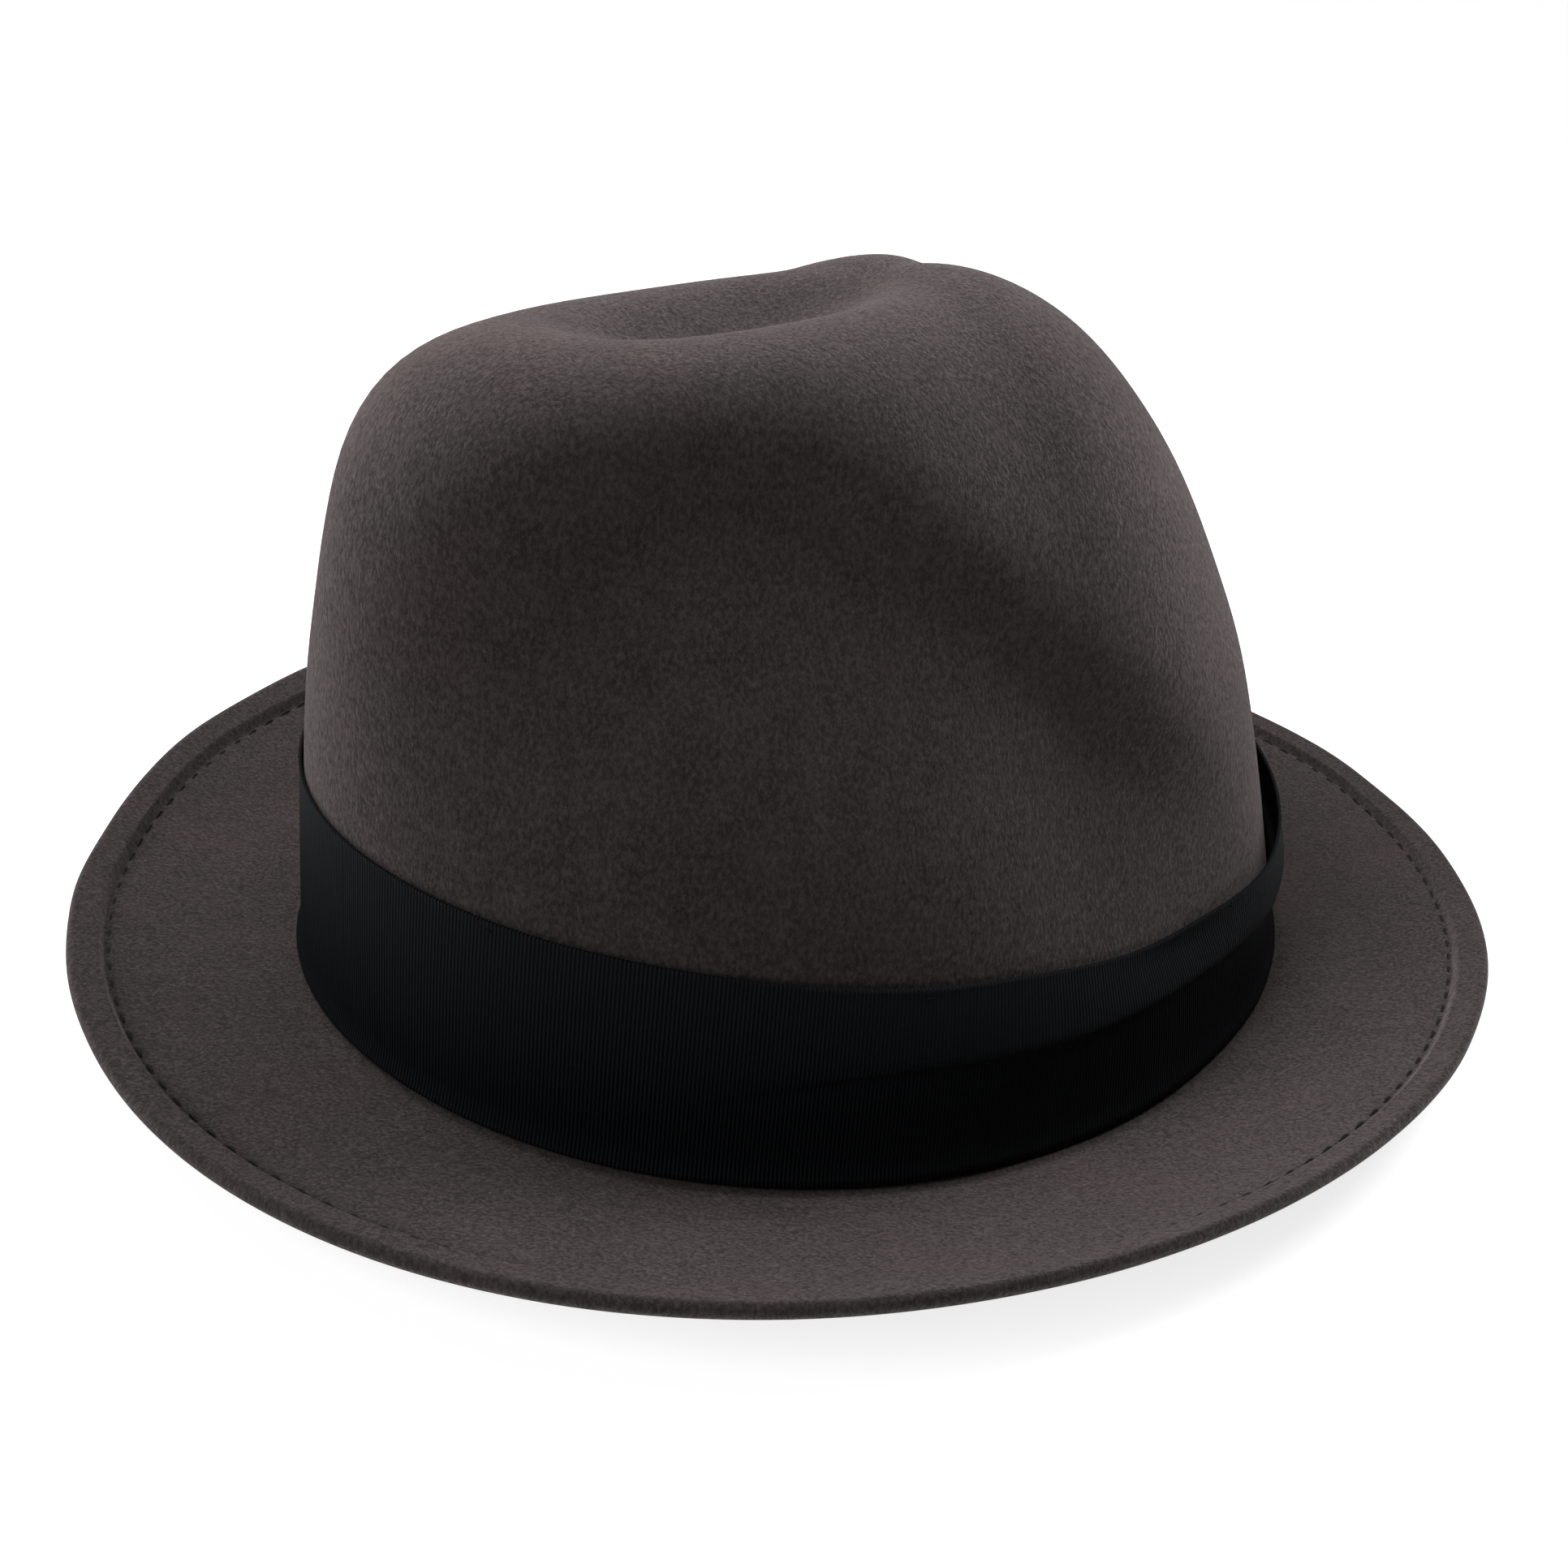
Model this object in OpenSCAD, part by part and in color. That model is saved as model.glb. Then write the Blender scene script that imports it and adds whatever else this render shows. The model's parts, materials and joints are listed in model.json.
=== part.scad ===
// Fedora hat: one felt piece (crown and brim), a ribbon band with a bow, and the
// sweatband and lining inside. Units are millimetres. +Z is up, the front faces -Y and
// the wearer's left is +X. The origin is the centre of the head opening, at the height
// where the crown bends out into the brim. Angles go round from the front: 0 is the
// front, 90 the wearer's left, 180 the rear.

/* [Head opening] */
// hat size: inside circumference of the sweatband, in centimetres
hat_size = 57; // [53:1:62]
// width of the head opening divided by its length
head_ratio = 0.828; // [0.78:0.002:0.88]
// how much fuller the front of the oval is than the rear
egg = 0.03; // [0:0.01:0.05]

/* [Felt] */
// thickness of the felt
felt = 2.2; // [1.8:0.1:2.6]
// height of the crown above the brim
crown_height = 131; // [115:0.5:140]
// how far the crown climbs towards the rear
rear_rise = 10; // [0:1:18]
// how far the crown climbs towards both ends
end_rise = 10; // [0:0.5:14]
// sideways lean of the hand-shaped crown, height per millimetre of width
lean = 0.16; // [0:0.01:0.18]
// width of the brim
brim_width = 42.8; // [36:0.2:56]
// how far the brim's sides turn up compared with its ends
brim_curl = 3.5; // [0:0.5:5]
// width of the welt, the felt folded over on top of the brim's edge
welt_width = 6.8; // [5:0.2:9]
// radius of the bend between crown and brim
bend_radius = 3; // [2:0.5:4]

/* [Dents] */
// depth of the long dent in the top
dent_depth = 10; // [8:0.5:16]
// half width of the dent
dent_width = 14; // [11:0.5:17]
// half length of the dent
dent_length = 28; // [26:0.5:40]
// depth of the finger pinch at the front of the left side
pinch_depth = 14; // [4:0.5:15]
// depth of the right side's pinch, as a share of the left one's
right_share = 0.2; // [0:0.1:1]
// depth of the shallow valley that runs rearwards from each pinch
valley_depth = 8; // [0:0.5:8]

/* [Band and bow] */
// width of the ribbon
ribbon_width = 39.5; // [30:0.5:42]
// how far the long pleat stands out
pleat_depth = 2.6; // [1.4:0.2:3.2]
// how far the ribbon above the pleat's fold hangs down over it
pleat_sag = 4.5; // [0:0.5:4.5]
// where the bow sits, in degrees from the front
bow_angle = 205; // [195:1:230]
// length of one bow loop
loop_length = 34; // [28:1:38]

/* [Inside] */
// height of the leather sweatband
sweatband_height = 44; // [36:1:48]

/* [Hidden] */

stations = 60;                 // steps round the hat
gap = 0.35;                    // air between neighbouring layers
satin = 0.3;                   // lining cloth
leather = 1.2;                 // sweatband
ribbon = 0.5;                  // grosgrain ribbon
thread = 0.5;                  // sewing thread, as wide as it lies

// the layers between the head and the outside of the felt
lining_out = felt + gap;
leather_out = lining_out + satin + gap;
leather_in = leather_out + leather;

// semi-axes of the head opening from the hat size (Ramanujan's ellipse length)
oval_factor = 3 * (1 + head_ratio) - sqrt((3 + head_ratio) * (1 + 3 * head_ratio));
head_a = 10 * hat_size / (PI * oval_factor);
base_a = head_a + leather_in;
base_b = head_a * head_ratio + leather_in;

// crown profile: roundness and inward slope at the front, the sides and the rear
roundness = [5.3, 2.44, 1.92];
slope = [0, 0.15, 0.423];
reference_length = 75;         // distance over which the rises above are counted
dent_centre = -32;

// the brim: how much higher the front is than the middle, along its inner and outer edge,
// how much higher the ends are than the sides along its inner edge, and its mean rise
bend_tilt = 1;
edge_tilt = 1.2;
bend_wave = 1.8;
edge_height = 8.9;
brim_bow = 1.5;                // above 1 the brim rises faster towards its edge

// the hollow on each side of the crown: its middle line climbs from the front to a peak
// and sinks again towards the rear
hollow_peak = 42;              // angle of the peak
hollow_height = 106;           // height of the middle line at the peak
hollow_fall = 1.2;             // how much it falls for each degree away from the peak
hollow_bend = 20;              // how softly it turns over at the peak, in degrees
hollow_above = 15;             // how far the hollow spreads above its middle line
hollow_below = 34;             // and below it
pinch_angle = 36;              // where the pinch is deepest
pinch_spread = 20;             // how far it spreads round the crown
valley_from = 35;              // where the valley starts to sink in
valley_to = 125;               // where it has gone
valley_start = 25;             // degrees over which it sinks in
valley_end = 40;               // degrees over which it fades out
hollow_reach = [0.35, 0.7];    // reach at which a hollow begins, and at which it is full

// ---------------------------------------------------------------- shape of the felt

// a value that runs smoothly from the front over the sides to the rear
function round_the_hat(three, th) =
    let (c = cos(th))
    three[1] + ((c > 0 ? three[0] : three[2]) - three[1]) * c * c;

// heights of the brim's inner and outer edge at the angle th
function break_z(th) = bend_tilt * cos(th) + bend_wave * cos(2 * th);
function edge_z(th) = edge_height + edge_tilt * cos(th) - brim_curl * cos(2 * th);

function oval(a, b, th) = [b * sin(th) * (1 + egg * cos(th)), -a * cos(th)];

// the way straight out from the crown at its base
function outward(th) =
    let (v = [sin(th) / base_b, -cos(th) / base_a])
    v / norm(v);

function top_height(x, y) =
    crown_height + rear_rise * y / reference_length
    + end_rise * pow(y / reference_length, 2) + lean * x;

function smooth(t) = let (k = max(0, min(1, t))) k * k * (3 - 2 * k);

// the dent in the top, deepest in the middle, as a drop in height
function dent(x, y, level) =
    let (u = (y - dent_centre) / dent_length, v = x / dent_width)
    dent_depth * exp(-pow(abs(u), 3) - v * v) * pow(level, 3);

// depth of the hollow at the angle th, the height z and the reach r from the middle (0) to
// the wall (1): the pinch and its valley, fading out before the crown's middle
function hollow(th, z, r) =
    let (line = hollow_height
                - hollow_fall * (norm([th - hollow_peak, hollow_bend]) - hollow_bend),
         tall = (z - line) / (z > line ? hollow_above : hollow_below),
         turn = (th - pinch_angle) / pinch_spread,
         valley = smooth((th - valley_from) / valley_start)
                  * smooth((valley_to - th) / valley_end),
         near = smooth((r - hollow_reach[0]) / (hollow_reach[1] - hollow_reach[0])))
    (pinch_depth * exp(-turn * turn) + valley_depth * valley)
    * exp(-tall * tall) * near;

// the point p with one side's hollow pushed into it; side is 1 or -1
function pinched(p, side) =
    let (x = side * p[0] / base_b,
         y = -p[1] / base_a,
         th = atan2(x, y),
         push = hollow(th, p[2], norm([x, y])) * (side > 0 ? 1 : right_share),
         way = outward(th))
    p - push * [side * way[0], way[1], 0];

// outside of the crown at the angle th, at a level from 0 (brim) to 1 (top);
// reach is how far out the point lies, from 1 at the wall to 0 over the middle
function crown_at(th, level, reach) =
    let (r = reach * (1 - round_the_hat(slope, th) * level),
         q = r * oval(base_a, base_b, th),
         z = level * top_height(q[0], q[1]) - dent(q[0], q[1], level))
    pinched(pinched([q[0], q[1], z + break_z(th) * (1 - level)], 1), -1);

// the crown as a rounded profile: rise runs from 0 at the brim to 90 at the top
function crown(th, rise) =
    let (n = round_the_hat(roundness, th),
         c = max(cos(rise), 1e-6),
         s = max(sin(rise), 1e-6),
         d = pow(pow(c, n) + pow(s, n), 1 / n))
    crown_at(th, s / d, c / d);

// the same surface moved inwards by depth, square to the surface
function crown_in(th, rise, depth) =
    let (step = 0.5,
         up = crown(th, min(rise + step, 89.9)) - crown(th, max(rise - step, 0)),
         along = crown(th + step, rise) - crown(th - step, rise),
         n = cross(along, up))
    crown(th, rise) - depth * n / norm(n);

function top_in(depth) = crown(0, 90) - [0, 0, depth];

// a point near the crown's foot: height above the brim's bend, distance outwards
function wall(th, height, out) =
    let (n = round_the_hat(roundness, th),
         foot = oval(base_a, base_b, th),
         level = max(height, 0) / top_height(foot[0], foot[1]),
         p = crown_at(th, level, pow(1 - pow(level, n), 1 / n)),
         o = out * outward(th))
    [p[0] + o[0], p[1] + o[1], height + break_z(th)];

// top of the brim: part runs from 0 at the crown to 1 at the edge
function brim_top(th, part, lift = 0) =
    let (q = oval(base_a, base_b, th) + brim_width * part * outward(th),
         z = break_z(th) + (edge_z(th) - break_z(th)) * pow(max(part, 0), brim_bow))
    [q[0], q[1], z + lift];

// ---------------------------------------------------------------- building helpers

// faces between n outlines of m points; an outline's second half is split along the other
// diagonal, so that both walls of a thin layer are split alike and never cross
function grid_faces(n, m, round_n, round_m) =
    [for (i = [0 : n - (round_n ? 1 : 2)], j = [0 : m - (round_m ? 1 : 2)])
        let (k = ((i + 1) % n) * m,
             a = i * m + j,
             b = i * m + (j + 1) % m,
             c = k + (j + 1) % m,
             d = k + j)
        each j < m / 2 ? [[a, b, c], [a, c, d]] : [[a, b, d], [b, c, d]]];

// a ring: one closed outline per station, joined all the way round
module ring(outlines) {
    n = len(outlines);
    m = len(outlines[0]);
    polyhedron([for (o = outlines) each o], grid_faces(n, m, true, true));
}

// a strip: one closed outline per station, with a flat end at each end
module strip(outlines) {
    n = len(outlines);
    m = len(outlines[0]);
    k = (n - 1) * m;
    first = [for (j = [1 : m - 2]) [0, j + 1, j]];
    last = [for (j = [1 : m - 2]) [k, k + j, k + j + 1]];
    polyhedron([for (o = outlines) each o],
               concat(grid_faces(n, m, false, true), first, last));
}

// a bowl: one open profile per station between an inner and an outer top point
module bowl(profiles, inner_top, outer_top) {
    n = len(profiles);
    m = len(profiles[0]);
    caps = [for (i = [0 : n - 1])
        let (k = (i + 1) % n)
        each [[n * m, i * m, k * m],
              [i * m + m - 1, n * m + 1, k * m + m - 1]]];
    polyhedron(concat([for (p = profiles) each p], [inner_top, outer_top]),
               concat(grid_faces(n, m, true, false), caps));
}

function angles() = [for (i = [0 : stations - 1]) i * 360 / stations];

// rise of each row of points up the crown, shared by every layer so they stay parallel
row_step = 5;
rows_up = [row_step : row_step : 90 - row_step];
rows_down = [90 - row_step : -row_step : row_step];
seam_rise = 50;                // where the lining's side meets its tip

// a small bar of thread from a to b, lying on a surface whose outside is towards up
module thread_bar(a, b, up) {
    along = (b - a) / norm(b - a);
    side = cross(up, along) * thread / 2;
    high = up * thread * 0.8;
    strip([for (p = [a, b]) [p + side, p - side, p - side + high, p + side + high]]);
}

// ---------------------------------------------------------------- felt and its seam

welt_lift = 0.7 * felt;        // the folded layer is pressed a little thinner
welt_fall = 1.2;               // width over which its raw edge falls to the seam
edge_round = 1.8;
groove = 0.2;                  // the seam sinks this far into the brim
groove_run = 1;                // width of the groove's inner side
under_rows = [0.35, 0.7];      // rows of points under the brim, as parts of its width

function inset(d) = 1 - d / brim_width;

// the felt's cut line at one angle, from inside the top, under the brim and back up
function felt_profile(th) =
    let (half = (welt_lift + felt) / 2)
    concat(
        [for (r = rows_down) crown_in(th, r, felt)],
        [for (f = [90 : -30 : 0])
            wall(th, bend_radius - (bend_radius + felt) * cos(f),
                 bend_radius - (bend_radius + felt) * sin(f))],
        [for (part = under_rows) brim_top(th, part, -felt)],
        [for (f = [-90 : 30 : 90])
            brim_top(th, inset(edge_round * (1 - cos(f))), half * sin(f) + half - felt)],
        [brim_top(th, inset(welt_width - welt_fall), welt_lift),
         brim_top(th, inset(welt_width), -groove),
         brim_top(th, inset(welt_width + groove_run)),
         brim_top(th, 0.4)],
        [for (f = [0 : 30 : 90])
            wall(th, bend_radius * (1 - cos(f)), bend_radius * (1 - sin(f)))],
        [for (r = rows_up) crown(th, r)]);

module felt_body()
    color([0.13, 0.115, 0.11])
    bowl([for (th = angles()) felt_profile(th)], top_in(felt), crown(0, 90));

// the running stitch that holds the welt down, sunk beside its raw edge
module welt_stitching()
    color([0.08, 0.07, 0.07]) {
        count = 150;
        reach = 0.6;               // part of the pitch that shows as thread
        line = inset(welt_width + groove_run / 2);
        clear = 0.1;               // air under the thread
        for (i = [0 : count - 1])
            thread_bar(brim_top(i * 360 / count, line, clear),
                       brim_top((i + reach) * 360 / count, line, clear), [0, 0, 1]);
    }

// ---------------------------------------------------------------- ribbon band

band_foot = 0.8;               // height of the ribbon's lower edge above the brim
pleat_start = 34;              // where the long pleat begins, in degrees
pleat_end = 178;               // it has gone where the bow starts
pleat_grow = 60;               // degrees over which it grows to its full depth
pleat_fade = 30;               // degrees over which it fades out
fold_climb = 50;               // degrees over which the fold line climbs
fold_full = 95;                // from here on it sinks again
fold_high = 0.6;               // height of the fold line, as part of the ribbon's width
fold_sink = 0.15;              // how much it sinks towards the bow
fold_low = 0.2;                // its height where there is no pleat
pleat_round = 0.3;             // part of the strip above the fold that swells outwards
lip = 0.2;                     // part of it that turns down over the fold
edge_sink = 4;                 // how far the upper edge sinks behind the side
edge_sink_from = 75;           // where it starts to sink
stand_off = 1.4;               // how far the upper edge stands away behind the side
stand_off_from = 100;          // where it starts to stand away
foot_flare = 0.8;              // how far the lower edge turns out over the brim's bend
foot_part = 0.1;               // part of the ribbon's width that turns out
dimple_angle = 103;            // a dimple in the pleat, under the upper edge
dimple_spread = 9;             // its half width in degrees
dimple_depth = 1.4;
dimple_place = 0.7;            // its place between the fold (0) and the upper edge (1)
dimple_high = 0.25;            // its half height on the same scale

// how strong the pleat is at the angle th, from 0 to 1
function pleat(th) =
    smooth((th - pleat_start) / pleat_grow) * smooth((pleat_end - th) / pleat_fade);

// how far the upper edge has sunk at the angle th
function sunk_edge(th) = edge_sink * pleat(th) * smooth((th - edge_sink_from) / pleat_fade);

// where the fold line runs, as a fraction of the ribbon's width from its lower edge
function fold_line(th) =
    let (climb = max(0, min(1, (th - pleat_start) / fold_climb)),
         sink = max(0, (th - fold_full) / (bow_angle - fold_full)))
    max(fold_low, fold_high * sqrt(sin(90 * climb)) - fold_sink * sink);

// middle line of the ribbon at the angle th, from its lower edge (v = 0) out and down over
// the fold and up to its upper edge (v = 1), as [distance from the crown's wall, height]
function band_line(th, v) =
    let (fold = fold_line(th),
         w = max(0, (v - fold) / (1 - fold)),
         bulge = sin(90 * min(w / pleat_round, 1)) * (1 - 0.6 * w),
         away = stand_off * smooth((th - stand_off_from) / pleat_fade)
                * smooth((pleat_end - th) / pleat_fade),
         flare = foot_flare * max(0, 1 - v / foot_part),
         turn = (th - dimple_angle) / dimple_spread,
         up = (w - dimple_place) / dimple_high,
         sunk = dimple_depth * exp(-turn * turn - up * up))
    [gap + ribbon / 2 + flare + pleat(th) * pleat_depth * bulge + away * v * v - sunk,
     band_foot + ribbon_width * v - pleat(th) * pleat_sag * smooth(w / lip)
         - sunk_edge(th) * w * w];

// a point of the ribbon's outside (side = 1) or its back (side = -1)
function band_point(th, v, side) =
    let (step = 0.004,
         t = band_line(th, v + step) - band_line(th, v - step),
         q = band_line(th, v) + side * ribbon / 2 * [t[1], -t[0]] / norm(t))
    wall(th, q[1], q[0]);

function band_outline(th) =
    let (fold = fold_line(th),
         v = concat([0, 0.1, 0.5 * fold + 0.05, fold],
                    [for (w = [0.05, 0.1, 0.15, 0.22, 0.35, dimple_place, 1])
                        fold + w * (1 - fold)]),
         last = len(v) - 1)
    concat([for (i = [0 : last]) band_point(th, v[i], 1)],
           [for (i = [last : -1 : 0]) band_point(th, v[i], -1)]);

module ribbon_band()
    color([0.03, 0.03, 0.035])
    ring([for (th = angles()) band_outline(th)]);

// short stitches that hold the ribbon's upper edge to the felt
module band_tacks()
    color([0.02, 0.02, 0.02]) {
        count = 8;
        v = 0.96;
        half = 0.4;                // half a tack's length, in degrees
        clear = 0.1;               // air under the thread
        for (i = [0 : count - 1]) {
            th = (i + 0.5) * 360 / count;
            up = [outward(th)[0], outward(th)[1], 0];
            thread_bar(band_point(th - half, v, 1) + clear * up,
                       band_point(th + half, v, 1) + clear * up, up);
        }
    }

// ---------------------------------------------------------------- bow

bow_middle = band_foot + ribbon_width / 2;
waist = 7.5;                   // half height of the loops where the knot grips them
tail_out = gap + ribbon + gap;
knot_out = tail_out + ribbon + gap;
loop_out = knot_out + ribbon + gap + ribbon / 2;
loop_turn = 1.7;               // radius at the outer end of a loop
loop_start = 1.5;              // distance of each loop's ends from the bow's middle
loop_spread = 7.5;             // how much higher a loop is at its end than at the waist
loop_puff = 1.2;               // how far a loop's outer layer swells
grip = 0.9;                    // distance between a loop's layers at the knot
degree = PI / 180 * norm([base_b * cos(bow_angle), base_a * sin(bow_angle)]);

// a point of the bow: along the band from its middle, height from its middle, and out
function bow_point(along, up, out) =
    wall(bow_angle + along / degree, bow_middle + up, out);

// one loop as a path of [along, out] from the knot, round its end and back
function loop_path() =
    let (n = 6,
         to = loop_length - loop_turn,
         step = (to - loop_start) / n)
    concat([for (i = [0 : n]) [loop_start + i * step, 0]],
           [for (f = [-60 : 30 : 60]) [to + loop_turn * cos(f), loop_turn + loop_turn * sin(f)]],
           [for (i = [n : -1 : 0])
               [loop_start + i * step,
                grip + (2 * loop_turn - grip) * i / n + loop_puff * sin(180 * i / n)]]);

module bow_loop(side)
    color([0.03, 0.03, 0.035]) {
        path = loop_path();
        last = len(path) - 1;
        outlines = [for (i = [0 : last])
            let (p = path[i],
                 t = path[min(i + 1, last)] - path[max(i - 1, 0)],
                 n = [-t[1], t[0]] / norm(t) * ribbon / 2,
                 high = waist + loop_spread * smooth(p[0] / (0.8 * loop_length)))
            [for (k = [[-1, -1], [1, -1], [1, 1], [-1, 1]])
                let (q = p + k[0] * n)
                bow_point(side * q[0], side * k[1] * high, loop_out + q[1])]];
        strip(outlines);
    }

module bow_front_loop() bow_loop(-1);

module bow_rear_loop() bow_loop(1);

// the strip wrapped round the loops' waist
module bow_knot()
    color([0.03, 0.03, 0.035]) {
        half = 6;
        thick = grip + ribbon + 2 * gap;
        middle = loop_out + grip / 2;
        tall = waist + 0.8;
        corner = 0.4;              // below 1 makes the wrap squarer than an ellipse
        steps = 16;
        ring([for (i = [0 : steps - 1])
            let (f = (i + 0.5) * 360 / steps,
                 c = sign(cos(f)) * pow(abs(cos(f)), corner),
                 s = sign(sin(f)) * pow(abs(sin(f)), corner))
            [for (k = [[0, 1], [1, 1], [1, -1], [0, -1]])
                bow_point(k[1] * half, (tall + k[0] * ribbon) * s,
                          middle + (thick / 2 + k[0] * ribbon) * c)]]);
    }

// the flat strip under the loops, with notched ends
module bow_tail()
    color([0.03, 0.03, 0.035]) {
        half = loop_length + 8;
        notch = 6;
        high = 16;
        steps = 12;
        strip([for (i = [-steps / 2 : steps / 2])
            let (f = 2 * i / steps)
            [for (k = [[0, -1], [1, -1], [1, 0], [1, 1], [0, 1], [0, 0]])
                bow_point(f * (half - notch * pow(f, 8) * (1 - abs(k[1]))),
                          high * k[1], tail_out + k[0] * ribbon)]]);
    }

// ---------------------------------------------------------------- sweatband

reed = 0.8;                    // radius of the reed in the sweatband's lower edge
reed_height = -0.8;
tape = 0.3;
tape_radius = 1.1;             // the tape's middle line round the reed
tape_outer = 8;                // how far up the tape runs outside the leather
tape_inner = 6;                // and inside it
reed_out = (leather_out + leather_in) / 2 + 0.1;

module sweatband()
    color([0.2, 0.12, 0.07])
    ring([for (th = angles())
        let (n = 5, foot = 0.5, step = (sweatband_height - foot) / n)
        concat([for (i = [0 : n]) wall(th, foot + i * step, -leather_out)],
               [for (i = [n : -1 : 0]) wall(th, foot + i * step, -leather_in)])]);

module sweatband_reed()
    color([0.6, 0.58, 0.5])
    ring([for (th = angles())
        [for (f = [0 : 60 : 300])
            wall(th, reed_height + reed * sin(f), -reed_out + reed * cos(f))]]);

// cloth tape folded round the reed, one leg on each side of the leather
function tape_outline(th, r) = concat(
    [wall(th, tape_outer, -reed_out + r)],
    [for (f = [0 : -30 : -180]) wall(th, reed_height + r * sin(f), -reed_out + r * cos(f))],
    [wall(th, tape_inner, -reed_out - r)]);

module reed_tape()
    color([0.05, 0.05, 0.05])
    ring([for (th = angles())
        let (inner = tape_outline(th, tape_radius - tape / 2),
             outer = tape_outline(th, tape_radius + tape / 2),
             last = len(inner) - 1)
        concat(inner, [for (i = [last : -1 : 0]) outer[i]])]);

module sweatband_stitching()
    color([0.3, 0.22, 0.15]) {
        count = 80;
        reach = 0.45;
        height = 3.5;
        depth = reed_out + tape_radius + tape / 2 + 0.25;
        for (i = [0 : count - 1]) {
            th = i * 360 / count;
            thread_bar(wall(th + reach * 360 / count, height, -depth),
                       wall(th, height, -depth), -[outward(th)[0], outward(th)[1], 0]);
        }
    }

// small flat bow over the sweatband's join at the rear
module sweatband_bow()
    color([0.05, 0.05, 0.05]) {
        span = 12;
        height = 14;
        depth = leather_in + 0.6;
        thick = 0.9;
        narrow = 1.2;              // half height of a wing beside the knot
        spread = 3.2;              // how much higher the wing's end is
        knot = [1.6, 2.2, 1.3];    // half width, half height and thickness
        degrees = 180 / (PI * base_b);
        for (side = [-1, 1])
            strip([for (i = [0 : 4])
                let (along = 2 + (span - 2) * i / 4,
                     high = narrow + spread * smooth(i / 3))
                [for (k = [[1, -1], [0, -1], [0, 1], [1, 1]])
                    wall(180 + side * along * degrees, height + side * k[1] * high,
                         -depth - k[0] * thick)]]);
        strip([for (along = [-knot[0], knot[0]])
            [for (k = [[1, -1], [0, -1], [0, 1], [1, 1]])
                wall(180 + along * degrees, height + k[1] * knot[1],
                     -depth - k[0] * knot[2])]]);
    }

// ---------------------------------------------------------------- lining

module lining_side()
    color([0.35, 0.3, 0.27])
    ring([for (th = angles())
        concat([for (r = [seam_rise : -row_step : row_step]) crown_in(th, r, lining_out + satin)],
               [for (r = [row_step : row_step : seam_rise]) crown_in(th, r, lining_out)])]);

module lining_tip()
    color([0.4, 0.34, 0.3])
    bowl([for (th = angles())
        let (edge = seam_rise + 2)
        concat([for (r = [90 - row_step : -row_step : seam_rise + row_step])
                   crown_in(th, r, lining_out + satin)],
               [crown_in(th, edge, lining_out + satin), crown_in(th, edge, lining_out)],
               [for (r = [seam_rise + row_step : row_step : 90 - row_step])
                   crown_in(th, r, lining_out)])],
        top_in(lining_out + satin), top_in(lining_out));

// cord over the seam between the lining's side and its tip
module lining_piping()
    color([0.25, 0.2, 0.18]) {
        cord = 0.8;
        depth = lining_out + satin + gap + cord;
        spread = 0.4;              // the same radius measured in degrees of rise
        ring([for (th = angles())
            [for (f = [0 : 60 : 300])
                crown_in(th, seam_rise + 1 + spread * sin(f), depth - cord * cos(f))]]);
    }

// blank tab on the sweatband, left of the little bow
module size_tab()
    color([0.8, 0.78, 0.72]) {
        middle = 160;
        half = 6;                  // half its width in degrees and half its height
        height = 25;
        thick = 0.25;
        depth = leather_in + 0.4;
        strip([for (a = [-half : half / 2 : half])
            [for (k = [[1, -1], [0, -1], [0, 1], [1, 1]])
                wall(middle + a, height + half * k[1], -depth - thick * k[0])]]);
    }

felt_body();
welt_stitching();
ribbon_band();
band_tacks();
bow_tail();
bow_front_loop();
bow_rear_loop();
bow_knot();
sweatband();
sweatband_reed();
reed_tape();
sweatband_stitching();
sweatband_bow();
lining_side();
lining_tip();
lining_piping();
size_tab();
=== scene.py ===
"""Looks of the fedora hat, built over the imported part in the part's own frame.

Every piece is a fine mesh made from the same surface formulas as the part: the crown, its
long dent and front pinches, the brim with its welt, the pleated ribbon band, the bow, and
the sweatband and lining inside. Lengths are in millimetres until a mesh is made, and
angles are in degrees round the hat: 0 is the front (-Y), 90 the wearer's left (+X).
"""

import json
import math

import bpy
import numpy as np
from mathutils import Matrix, Vector, noise

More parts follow.
